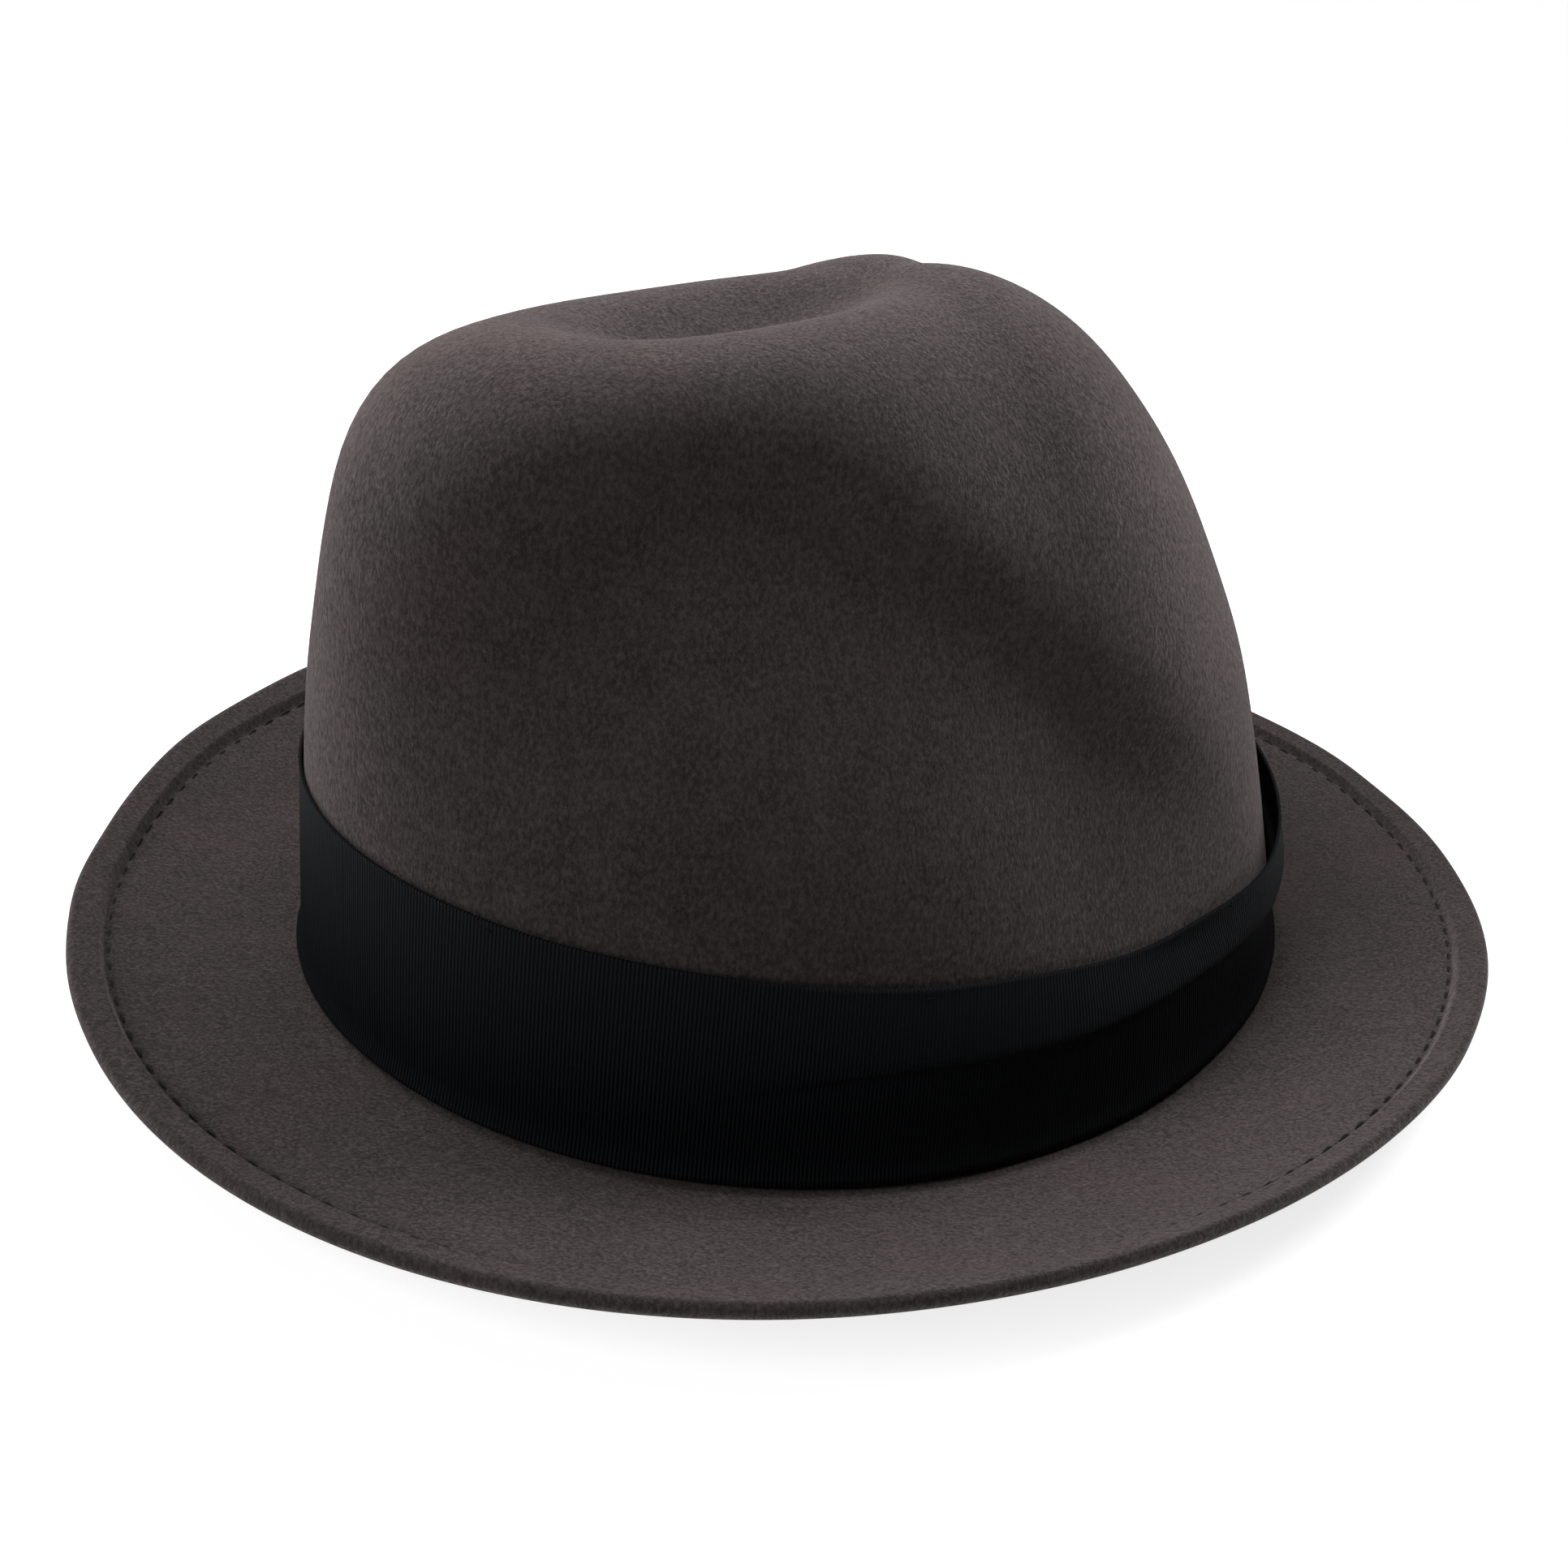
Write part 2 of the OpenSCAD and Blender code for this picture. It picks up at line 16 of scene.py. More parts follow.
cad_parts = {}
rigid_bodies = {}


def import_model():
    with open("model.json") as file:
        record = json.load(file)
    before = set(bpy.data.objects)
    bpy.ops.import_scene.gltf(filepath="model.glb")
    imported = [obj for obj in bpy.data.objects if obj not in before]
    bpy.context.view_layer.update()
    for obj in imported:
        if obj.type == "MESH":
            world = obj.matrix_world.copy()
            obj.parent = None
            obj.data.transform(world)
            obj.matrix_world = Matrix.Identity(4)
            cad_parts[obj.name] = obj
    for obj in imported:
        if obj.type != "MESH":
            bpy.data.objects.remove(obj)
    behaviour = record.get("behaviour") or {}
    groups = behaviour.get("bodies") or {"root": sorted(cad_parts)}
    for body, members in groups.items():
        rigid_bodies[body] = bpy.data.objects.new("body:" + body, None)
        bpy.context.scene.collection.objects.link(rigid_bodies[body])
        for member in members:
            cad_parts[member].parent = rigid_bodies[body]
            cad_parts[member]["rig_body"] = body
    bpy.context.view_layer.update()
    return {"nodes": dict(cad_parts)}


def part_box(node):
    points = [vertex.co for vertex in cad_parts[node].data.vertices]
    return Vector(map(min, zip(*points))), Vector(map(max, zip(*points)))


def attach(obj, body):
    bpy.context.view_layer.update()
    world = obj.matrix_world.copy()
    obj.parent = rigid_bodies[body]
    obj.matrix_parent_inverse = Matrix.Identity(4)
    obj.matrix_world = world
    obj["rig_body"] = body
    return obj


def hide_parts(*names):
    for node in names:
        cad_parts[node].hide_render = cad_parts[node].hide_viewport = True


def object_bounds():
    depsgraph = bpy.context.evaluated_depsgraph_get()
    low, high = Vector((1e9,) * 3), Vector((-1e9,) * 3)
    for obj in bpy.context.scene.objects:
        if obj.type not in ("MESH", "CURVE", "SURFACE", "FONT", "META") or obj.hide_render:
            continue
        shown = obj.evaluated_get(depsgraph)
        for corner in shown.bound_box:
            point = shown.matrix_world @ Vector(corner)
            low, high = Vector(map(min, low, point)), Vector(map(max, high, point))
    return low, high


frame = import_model()

MM = 0.001                       # metres in a millimetre

# ------------------------------------------------------------------ sizes of the hat

FELT = 2.2                       # thickness of the felt
BRIM_WIDTH = 42.8
CROWN_HEIGHT = 131.0
REAR_RISE = 10.0                 # how far the crown climbs towards the rear
END_RISE = 10.0                  # and towards both ends
LEAN = 0.16                      # sideways lean, height per millimetre of width
BRIM_CURL = 3.5                  # how far the brim's sides turn up over its ends
BEND_TILT = 1.0                  # the brim's front over its middle, along its inner edge
BEND_WAVE = 1.8                  # its ends over its sides, along its inner edge
EDGE_HEIGHT = 8.9                # mean rise of the brim's edge
EDGE_TILT = 1.2                  # the edge's front over its middle
BRIM_BOW = 1.5                   # above 1 the brim rises faster towards its edge
WELT_WIDTH = 6.8                 # felt folded over on top of the brim's edge
BEND_RADIUS = 3.0                # bend between crown and brim
EGG = 0.03                       # how much fuller the oval's front is than its rear
DENT_DEPTH = 10.0
DENT_WIDTH = 14.0                # half width of the long dent in the top
DENT_LENGTH = 28.0               # its half length
DENT_CENTRE = -32.0
PINCH_DEPTH = 14.0
PINCH_ANGLE = 36.0               # where the pinch is deepest
PINCH_SPREAD = 20.0
RIGHT_SHARE = 0.2                # the right pinch's depth as a share of the left one's
VALLEY_DEPTH = 8.0
VALLEY_FROM = 35.0               # where the valley starts to sink in
VALLEY_TO = 125.0                # where it has gone
VALLEY_START = 25.0              # degrees over which it sinks in
VALLEY_END = 40.0                # degrees over which it fades out
HOLLOW_REACH = (0.35, 0.7)       # where a hollow begins, and where it has its full depth
HOLLOW_PEAK = 42.0               # angle at which the hollow's middle line peaks
HOLLOW_HEIGHT = 106.0            # height of the line there
HOLLOW_FALL = 1.2                # how much it falls for each degree away from the peak
HOLLOW_BEND = 20.0               # how softly it turns over, in degrees
HOLLOW_ABOVE = 15.0              # how far the hollow spreads above its middle line
HOLLOW_BELOW = 34.0              # and below it
ROUNDNESS = (5.3, 2.44, 1.92)    # of the crown's profile at the front, sides and rear
SLOPE = (0.0, 0.15, 0.423)       # how much the crown leans in there
REFERENCE_LENGTH = 75.0          # distance over which the crown's rises are counted
RIBBON_WIDTH = 39.5
PLEAT_DEPTH = 2.6                # how far the long pleat stands out
PLEAT_SAG = 4.5                  # how far the ribbon above it hangs down over the fold
BOW_ANGLE = 205.0
LOOP_LENGTH = 34.0
SWEATBAND_HEIGHT = 44.0

# the oval at the crown's foot, from the box round the felt
felt_low, felt_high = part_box("felt_body")
BASE_A = (felt_high.y - felt_low.y) / 2 / MM - BRIM_WIDTH
BASE_B = (felt_high.x - felt_low.x) / 2 / MM - BRIM_WIDTH

GAP = 0.35                       # air between neighbouring layers
RIBBON = 0.5                     # thickness of the ribbon
SATIN = 0.3
LEATHER = 1.2

# depths of the inner layers under the outside of the felt
LINING_OUT = FELT + GAP
LEATHER_OUT = LINING_OUT + SATIN + GAP
LEATHER_IN = LEATHER_OUT + LEATHER

# ------------------------------------------------------------------ the hat's surface


def sin(degrees):
    return np.sin(np.radians(degrees))


def cos(degrees):
    return np.cos(np.radians(degrees))


def smooth(t):
    """Runs softly from 0 to 1 while t runs from 0 to 1."""
    k = np.clip(t, 0, 1)
    return k * k * (3 - 2 * k)


def points(x, y, z):
    """Points from their coordinates, which may be arrays or single values."""
    return np.stack(np.broadcast_arrays(x, y, z), axis=-1).astype(float)


def round_the_hat(three, th):
    """A value that runs smoothly from the front over the sides to the rear."""
    c = cos(th)
    end = np.where(c > 0, three[0], three[2])
    return three[1] + (end - three[1]) * c * c


def break_z(th):
    """Height of the brim's inner edge, where the crown bends out."""
    return BEND_TILT * cos(th) + BEND_WAVE * cos(2 * th)


def edge_z(th):
    """Height of the brim's outer edge."""
    return EDGE_HEIGHT + EDGE_TILT * cos(th) - BRIM_CURL * cos(2 * th)


def oval(th):
    """The crown's foot."""
    return BASE_B * sin(th) * (1 + EGG * cos(th)), -BASE_A * cos(th)


def outward(th):
    """The way straight out from the crown's foot."""
    x = sin(th) / BASE_B
    y = -cos(th) / BASE_A
    size = np.hypot(x, y)
    return x / size, y / size


def top_height(x, y):
    """Height of the crown before its dents."""
    part = y / REFERENCE_LENGTH
    return CROWN_HEIGHT + REAR_RISE * part + END_RISE * part * part + LEAN * x


def dent(x, y, level):
    """Drop of the long dent in the top."""
    u = (y - DENT_CENTRE) / DENT_LENGTH
    return DENT_DEPTH * np.exp(-np.abs(u) ** 3 - (x / DENT_WIDTH) ** 2) * level ** 3


def hollow(th, z, r):
    """Depth of the pinch and of the valley that runs rearwards and down from it."""
    fall = np.hypot(th - HOLLOW_PEAK, HOLLOW_BEND) - HOLLOW_BEND
    line = HOLLOW_HEIGHT - HOLLOW_FALL * fall
    tall = (z - line) / np.where(z > line, HOLLOW_ABOVE, HOLLOW_BELOW)
    turn = (th - PINCH_ANGLE) / PINCH_SPREAD
    valley = smooth((th - VALLEY_FROM) / VALLEY_START) * smooth((VALLEY_TO - th) / VALLEY_END)
    near = smooth((r - HOLLOW_REACH[0]) / (HOLLOW_REACH[1] - HOLLOW_REACH[0]))
    deepest = PINCH_DEPTH * np.exp(-turn * turn) + VALLEY_DEPTH * valley
    return deepest * np.exp(-tall * tall) * near


def pinched(p, side):
    """The points p with one side's hollow pushed into them; side is 1 or -1."""
    x = side * p[..., 0] / BASE_B
    y = -p[..., 1] / BASE_A
    th = np.degrees(np.arctan2(x, y))
    push = hollow(th, p[..., 2], np.hypot(x, y)) * (1 if side > 0 else RIGHT_SHARE)
    ox, oy = outward(th)
    return p - points(push * side * ox, push * oy, 0)


def crown_at(th, level, reach):
    """Crown at a level (0 foot, 1 top) and a reach (0 middle, 1 the oval at the foot)."""
    r = reach * (1 - round_the_hat(SLOPE, th) * level)
    x, y = oval(th)
    x, y = r * x, r * y
    z = level * top_height(x, y) - dent(x, y, level) + break_z(th) * (1 - level)
    return pinched(pinched(points(x, y, z), 1), -1)


def crown(th, rise):
    """Outside of the crown; rise runs from 0 at the brim to 90 at the top."""
    n = round_the_hat(ROUNDNESS, th)
    c = np.maximum(cos(rise), 1e-6)
    s = np.maximum(sin(rise), 1e-6)
    d = (c ** n + s ** n) ** (1 / n)
    return crown_at(th, s / d, c / d)


def crown_in(th, rise, depth):
    """The crown's surface moved inwards by depth, square to the surface."""
    step = 0.5
    up = crown(th, np.minimum(rise + step, 89.9)) - crown(th, np.maximum(rise - step, 0))
    along = crown(th + step, rise) - crown(th - step, rise)
    n = np.cross(along, up)
    n /= np.linalg.norm(n, axis=-1, keepdims=True)
    return crown(th, rise) - np.asarray(depth)[..., None] * n


def top_in(depth):
    """The crown's topmost point moved down by depth."""
    return crown(0.0, 90.0) - np.array((0, 0, depth))


def wall(th, height, out):
    """A point near the crown's foot: height above the brim's bend, distance outwards."""
    n = round_the_hat(ROUNDNESS, th)
    x, y = oval(th)
    level = np.maximum(height, 0) / top_height(x, y)
    p = crown_at(th, level, (1 - level ** n) ** (1 / n))
    ox, oy = outward(th)
    return points(p[..., 0] + out * ox, p[..., 1] + out * oy, height + break_z(th))


def brim_top(th, part, lift=0.0):
    """Top of the brim; part runs from 0 at the crown to 1 at the edge."""
    x, y = oval(th)
    ox, oy = outward(th)
    rise = (edge_z(th) - break_z(th)) * np.maximum(part, 0) ** BRIM_BOW
    return points(x + BRIM_WIDTH * part * ox, y + BRIM_WIDTH * part * oy,
                  break_z(th) + rise + lift)


# ------------------------------------------------------------------ meshes from grids


def add_piece(name, vertices, faces, uv, slot, replaced):
    """A smooth mesh from points in millimetres, shown in place of the CAD node replaced.

    uv holds one pair per face corner. slot names its material, in looks and in the record.
    """
    mesh = bpy.data.meshes.new(name)
    mesh.from_pydata((vertices * MM).tolist(), [], faces)
    mesh.polygons.foreach_set("use_smooth", [True] * len(mesh.polygons))
    layer = mesh.uv_layers.new(name="cloth")
    layer.data.foreach_set("uv", np.asarray(uv, float).ravel())
    mesh.materials.append(looks[slot])
    mesh.validate()
    piece = bpy.data.objects.new(name, mesh)
    bpy.context.scene.collection.objects.link(piece)
    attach(piece, frame["nodes"][replaced]["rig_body"])
    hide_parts(replaced)


def lengths_along(line, closed):
    """Distance travelled along a line of points, with the way back to the start if closed."""
    ends = np.concatenate([line, line[:1]]) if closed else line
    steps = np.linalg.norm(np.diff(ends, axis=0), axis=1)
    return np.concatenate([[0], np.cumsum(steps)])


def grid_parts(grid, closed_n, closed_m, base=0):
    """Faces and face-corner lengths for a grid of points, n stations by m rows."""
    n, m = grid.shape[:2]
    u = lengths_along(grid[:, m // 2], closed_n)
    v = lengths_along(grid[n // 2], closed_m)
    i, j = np.meshgrid(np.arange(n if closed_n else n - 1),
                       np.arange(m if closed_m else m - 1), indexing="ij")
    i, j = i.ravel(), j.ravel()
    corners = [(i, j), (i, j + 1), (i + 1, j + 1), (i + 1, j)]
    faces = np.stack([(a % n) * m + b % m for a, b in corners], axis=1) + base
    uv = np.stack([np.stack([u[a], v[b]], axis=-1) for a, b in corners], axis=1)
    return faces.tolist(), uv.reshape(-1, 2)


def add_ring(name, grid, slot, replaced):
    """A closed ring round the hat with a closed outline at every station."""
    faces, uv = grid_parts(grid, True, True)
    add_piece(name, grid.reshape(-1, 3), faces, uv, slot, replaced)


def add_bowl(name, grid, inner_top, outer_top, slot, replaced):
    """A ring of open profiles, closed over the middle by two top points."""
    n, m = grid.shape[:2]
    faces, uv = grid_parts(grid, True, False)
    i = np.arange(n)
    k = (i + 1) % n
    low, high = np.full(n, n * m), np.full(n, n * m + 1)
    caps = np.concatenate([np.stack([low, i * m, k * m], 1),
                           np.stack([i * m + m - 1, high, k * m + m - 1], 1)])
    vertices = np.concatenate([grid.reshape(-1, 3), [inner_top, outer_top]])
    uv = np.concatenate([uv, np.zeros((caps.size, 2))])
    add_piece(name, vertices, faces + caps.tolist(), uv, slot, replaced)


def add_strips(name, grids, slot, replaced):
    """One or more strips with closed outlines and a flat face at both ends."""
    vertices, faces, uv = [], [], []
    base = 0
    for grid in grids:
        n, m = grid.shape[:2]
        side_faces, side_uv = grid_parts(grid, False, True, base)
        faces += side_faces
        faces.append([base + j for j in range(m - 1, -1, -1)])
        faces.append([base + (n - 1) * m + j for j in range(m)])
        uv += [side_uv, np.zeros((2 * m, 2))]
        vertices.append(grid.reshape(-1, 3))
        base += n * m
    add_piece(name, np.concatenate(vertices), faces, np.concatenate(uv), slot, replaced)


def thread_grid(a, b, up, width, height, steps=7, sides=8):
    """A rounded bar of thread from a to b that dives into the cloth at both ends."""
    along = (b - a) / np.linalg.norm(b - a)
    side = np.cross(up, along)
    side /= np.linalg.norm(side)
    grid = []
    for i in range(steps):
        t = i / (steps - 1)
        swell = 0.35 + 0.65 * math.sin(math.pi * t)
        middle = a + (b - a) * t + up * height * (math.sin(math.pi * t) - 0.6)
        f = np.arange(sides) * 360 / sides
        grid.append(middle + swell * (np.outer(cos(f), side) * width / 2
                                      + np.outer(sin(f), up) * height / 2))
    return np.array(grid)


def uneven(vertices, size, amount):
    """Small soft unevenness, as a hand-shaped felt has it, added along z and outwards."""
    moved = vertices.copy()
    for k, p in enumerate(vertices):
        wave = noise.noise(Vector(p) / size)
        moved[k, 2] += amount * wave
        moved[k, :2] *= 1 + 0.5 * amount * wave / BASE_B
    return moved


# ------------------------------------------------------------------ materials


class Cloth:
    """A material under construction: short helpers round its node tree."""

    def __init__(self, name, roughness):
        self.material = bpy.data.materials.new(name)
        self.material.use_nodes = True
        self.nodes = self.material.node_tree.nodes
        self.links = self.material.node_tree.links
        self.shader = self.nodes["Principled BSDF"]
        self.shader.inputs["Roughness"].default_value = roughness

    def node(self, kind, **values):
        """A new node with the given settings."""
        made = self.nodes.new(kind)
        for key, value in values.items():
            setattr(made, key, value)
        return made

    def coordinates(self, scale=(1, 1, 1)):
        """Place in the hat's frame, stretched by scale."""
        place = self.node("ShaderNodeTexCoord")
        mapping = self.node("ShaderNodeMapping")
        mapping.inputs["Scale"].default_value = scale
        self.links.new(place.outputs["Object"], mapping.inputs["Vector"])
        return mapping.outputs["Vector"]

    def along_cloth(self):
        """Lengths along the piece in millimetres, as separate x and y values."""
        lengths = self.node("ShaderNodeUVMap", uv_map="cloth")
        split = self.node("ShaderNodeSeparateXYZ")
        self.links.new(lengths.outputs["UV"], split.inputs["Vector"])
        return split.outputs["X"], split.outputs["Y"]

    def noise(self, size, vector, detail=2.0, roughness=0.5):
        """Noise with features about size millimetres wide."""
        made = self.node("ShaderNodeTexNoise")
        made.inputs["Scale"].default_value = 1 / (size * MM)
        made.inputs["Detail"].default_value = detail
        made.inputs["Roughness"].default_value = roughness
        self.links.new(vector, made.inputs["Vector"])
        return made.outputs["Fac"]

    def maths(self, operation, a, b=0.0):
        """One calculation on values that are sockets or plain numbers."""
        made = self.node("ShaderNodeMath", operation=operation)
        for value, entry in ((a, made.inputs[0]), (b, made.inputs[1])):
            if isinstance(value, (int, float)):
                entry.default_value = value
            else:
                self.links.new(value, entry)
        return made.outputs[0]

    def spread(self, value, low, high, to_low=0.0, to_high=1.0):
        """The value with its range low..high opened to to_low..to_high."""
        made = self.node("ShaderNodeMapRange")
        made.inputs["From Min"].default_value = low
        made.inputs["From Max"].default_value = high
        made.inputs["To Min"].default_value = to_low
        made.inputs["To Max"].default_value = to_high
        self.links.new(value, made.inputs["Value"])
        return made.outputs["Result"]

    def mix(self, factor, first, second):
        """A colour between two colours."""
        made = self.node("ShaderNodeMix", data_type="RGBA")
        if isinstance(factor, (int, float)):
            made.inputs["Factor"].default_value = factor
        else:
            self.links.new(factor, made.inputs["Factor"])
        entries = [s for s in made.inputs if s.type == "RGBA"]
        for value, entry in zip((first, second), entries):
            if isinstance(value, tuple):
                entry.default_value = (*value, 1)
            else:
                self.links.new(value, entry)
        return [s for s in made.outputs if s.type == "RGBA"][0]

    def colour(self, value):
        """Set the base colour to one colour or to a colour socket."""
        if isinstance(value, tuple):
            self.shader.inputs["Base Color"].default_value = (*value, 1)
        else:
            self.links.new(value, self.shader.inputs["Base Color"])

    def sheen(self, weight, roughness, tint):
        self.shader.inputs["Sheen Weight"].default_value = weight
        self.shader.inputs["Sheen Roughness"].default_value = roughness
        self.shader.inputs["Sheen Tint"].default_value = (*tint, 1)

    def gloss(self, level):
        self.shader.inputs["Specular IOR Level"].default_value = level

    def roughness(self, value):
        self.links.new(value, self.shader.inputs["Roughness"])

    def bump(self, height, depth, strength=1.0):
        """Relief of depth millimetres; several calls stack on each other."""
        made = self.node("ShaderNodeBump")
        made.inputs["Distance"].default_value = depth * MM
        made.inputs["Strength"].default_value = strength
        self.links.new(height, made.inputs["Height"])
        before = self.shader.inputs["Normal"]
        if before.is_linked:
            self.links.new(before.links[0].from_socket, made.inputs["Normal"])
        self.links.new(made.outputs["Normal"], before)


def felt_material():
    """Short-napped dark grey-brown felt with lighter fibres and slight mottling."""
    cloth = Cloth("felt", 0.95)
    place = cloth.coordinates()
    upright = cloth.coordinates((1, 1, 0.6))
    fibres = cloth.noise(0.7, upright, detail=6.0, roughness=0.75)
    flecks = cloth.spread(fibres, 0.42, 0.68)
    mottle = cloth.spread(cloth.noise(7.0, place, detail=4.0, roughness=0.6), 0.35, 0.65)
    warm = cloth.spread(cloth.noise(30.0, place, detail=3.0), 0.5, 0.72, 0.0, 0.6)
    base = cloth.mix(mottle, (0.0125, 0.0105, 0.0101), (0.018, 0.0151, 0.0146))
    base = cloth.mix(warm, base, (0.025, 0.0165, 0.0152))
    cloth.colour(cloth.mix(cloth.maths("MULTIPLY", flecks, 0.55), base, (0.063, 0.0530, 0.0515)))
    cloth.sheen(0.3, 0.28, (1.0, 0.84, 0.83))
    cloth.links.new(cloth.spread(fibres, 0.35, 0.7, 0.14, 0.5),
                    cloth.shader.inputs["Sheen Weight"])
    cloth.gloss(0.08)
    cloth.bump(fibres, 0.35, 1.0)
    cloth.bump(cloth.noise(4.0, place, detail=4.0), 0.25, 0.6)
    return cloth.material


RIB_PITCH = 0.7                  # distance between two ribs of the ribbon
WEAVE_PITCH = 0.6                # distance between two threads of tape and tab
LEATHER_GRAIN = 0.9


def grosgrain_material():
    """Blue-black ribbon with fine ribs across it, with painted shade in the grooves and painted
    highlight on the crests.
    """
    cloth = Cloth("ribbon", 0.7)
    along, _ = cloth.along_cloth()
    wave = cloth.maths("SINE", cloth.maths("MULTIPLY", along, math.pi / RIB_PITCH))
    ribs = cloth.maths("ABSOLUTE", wave)
    place = cloth.coordinates()
    threads = cloth.noise(0.4, place, detail=3.0)
    mottle = cloth.noise(14.0, place, detail=2.0)
    # the rib relief sets the colour: near black in the grooves, lighter on the crests, painted shade
    # and highlight
    shade = cloth.mix(cloth.spread(ribs, 0.1, 0.9), (0.0004, 0.0006, 0.0009),
                      (0.0040, 0.0048, 0.0060))
    cloth.colour(cloth.mix(cloth.spread(mottle, 0.35, 0.7, 0.0, 0.4), shade,
                           (0.0026, 0.0031, 0.0040)))
    cloth.sheen(0.01, 0.35, (0.9, 0.93, 1.0))
    cloth.gloss(0.06)
    cloth.bump(ribs, 0.25, 1.0)
    cloth.bump(threads, 0.05, 0.6)
    return cloth.material


def thread_material(name, dark, light):
    """Twisted sewing thread."""
    cloth = Cloth(name, 0.7)
    twist = cloth.noise(0.25, cloth.coordinates((1, 1, 2)), detail=2.0)
    cloth.colour(cloth.mix(cloth.spread(twist, 0.4, 0.6), dark, light))
    cloth.sheen(0.02, 0.4, (1, 1, 1))
    cloth.gloss(0.1)
    cloth.bump(twist, 0.06, 0.8)
    return cloth.material


def leather_material():
    """Brown roan leather, finely grained, a little darker where it was handled."""
    cloth = Cloth("leather", 0.5)
    place = cloth.coordinates()
    grain = cloth.node("ShaderNodeTexVoronoi")
    grain.feature = "SMOOTH_F1"
    grain.inputs["Scale"].default_value = 1 / (LEATHER_GRAIN * MM)
    cloth.links.new(place, grain.inputs["Vector"])
    wear = cloth.noise(25.0, place, detail=4.0)
    tone = cloth.mix(cloth.spread(wear, 0.35, 0.7), (0.075, 0.035, 0.017), (0.13, 0.065, 0.032))
    cloth.colour(tone)
    cloth.roughness(cloth.spread(wear, 0.3, 0.7, 0.42, 0.6))
    cloth.gloss(0.4)
    cloth.bump(grain.outputs["Distance"], 0.08, 0.7)
    cloth.bump(wear, 0.4, 0.4)
    return cloth.material


def satin_material():
    """Warm grey satin with a fine weave, a soft shine and soft folds, with painted shade in the folds'
    troughs.
    """
    cloth = Cloth("satin", 0.38)
    place = cloth.coordinates()
    weave = cloth.noise(0.3, cloth.coordinates((1, 1, 0.2)), detail=2.0)
    folds = cloth.noise(16.0, place, detail=3.0)
    # the folds' relief also sets the colour, darker in its troughs: painted shade
    cloth.colour(cloth.mix(cloth.spread(folds, 0.35, 0.7), (0.10, 0.080, 0.068),
                           (0.15, 0.12, 0.10)))
    cloth.sheen(0.3, 0.3, (1.0, 0.95, 0.9))
    cloth.gloss(0.6)
    cloth.bump(weave, 0.04, 0.6)
    cloth.bump(folds, 0.5, 0.4)
    return cloth.material


def woven_material(name, dark, light, roughness):
    """Plain woven tape or paper-backed tab with a visible weave."""
    cloth = Cloth(name, roughness)
    along, across = cloth.along_cloth()
    turns = 2 * math.pi / WEAVE_PITCH
    warp = cloth.maths("SINE", cloth.maths("MULTIPLY", along, turns))
    weft = cloth.maths("SINE", cloth.maths("MULTIPLY", across, turns))
    weave = cloth.maths("MULTIPLY", warp, weft)
    cloth.colour(cloth.mix(cloth.spread(weave, -1.0, 1.0), dark, light))
    cloth.sheen(0.1, 0.4, (1, 1, 1))
    cloth.bump(weave, 0.06, 0.7)
    return cloth.material


def reed_material():
    """Pale flexible plastic reed, slightly cloudy."""
    cloth = Cloth("reed", 0.45)
    cloud = cloth.noise(3.0, cloth.coordinates(), detail=3.0)
    cloth.colour(cloth.mix(cloth.spread(cloud, 0.35, 0.7), (0.42, 0.38, 0.28),
                           (0.55, 0.5, 0.4)))
    cloth.bump(cloud, 0.05, 0.4)
    return cloth.material


# Every look, under the name of its material slot in the record.
looks = {
    "felt": felt_material(),
    "ribbon": grosgrain_material(),
    "welt_thread": thread_material("welt_thread", (0.005, 0.0045, 0.0045), (0.012, 0.0105, 0.010)),
    "black_thread": thread_material("black_thread", (0.0003, 0.0004, 0.0006), (0.0012, 0.0014, 0.0018)),
    "stitch_thread": thread_material("stitch_thread", (0.12, 0.08, 0.045), (0.22, 0.16, 0.10)),
    "leather": leather_material(),
    "satin": satin_material(),
    "tape": woven_material("tape", (0.006, 0.006, 0.006), (0.02, 0.02, 0.02), 0.8),
    "tab": woven_material("tab", (0.50, 0.47, 0.40), (0.62, 0.59, 0.52), 0.75),
    "piping": thread_material("piping", (0.05, 0.032, 0.024), (0.11, 0.08, 0.065)),
    "reed": reed_material(),
}

# ------------------------------------------------------------------ felt and its seam

STATIONS = 480                   # steps round the hat
WELT_LIFT = 0.7 * FELT           # the folded felt is pressed thinner
EDGE_ROUND = 1.8                 # rounding of the brim's outer edge
GROOVE = 0.2                     # depth of the seam beside the welt
WELT_FALL = 1.2                  # width over which the welt drops into it
WAVE_SIZE = 28.0                 # size and height of the felt's soft unevenness
WAVE = 0.5
WELT_STITCHES = 150
WELT_STITCH_SHARE = 0.6          # of a stitch's pitch that lies on top


def all_round(count):
    """Angles of count stations round the hat."""
    return np.arange(count) * 360.0 / count


def inset(distance):
    """Place across the brim, given as a distance from its edge."""
    return 1 - distance / BRIM_WIDTH


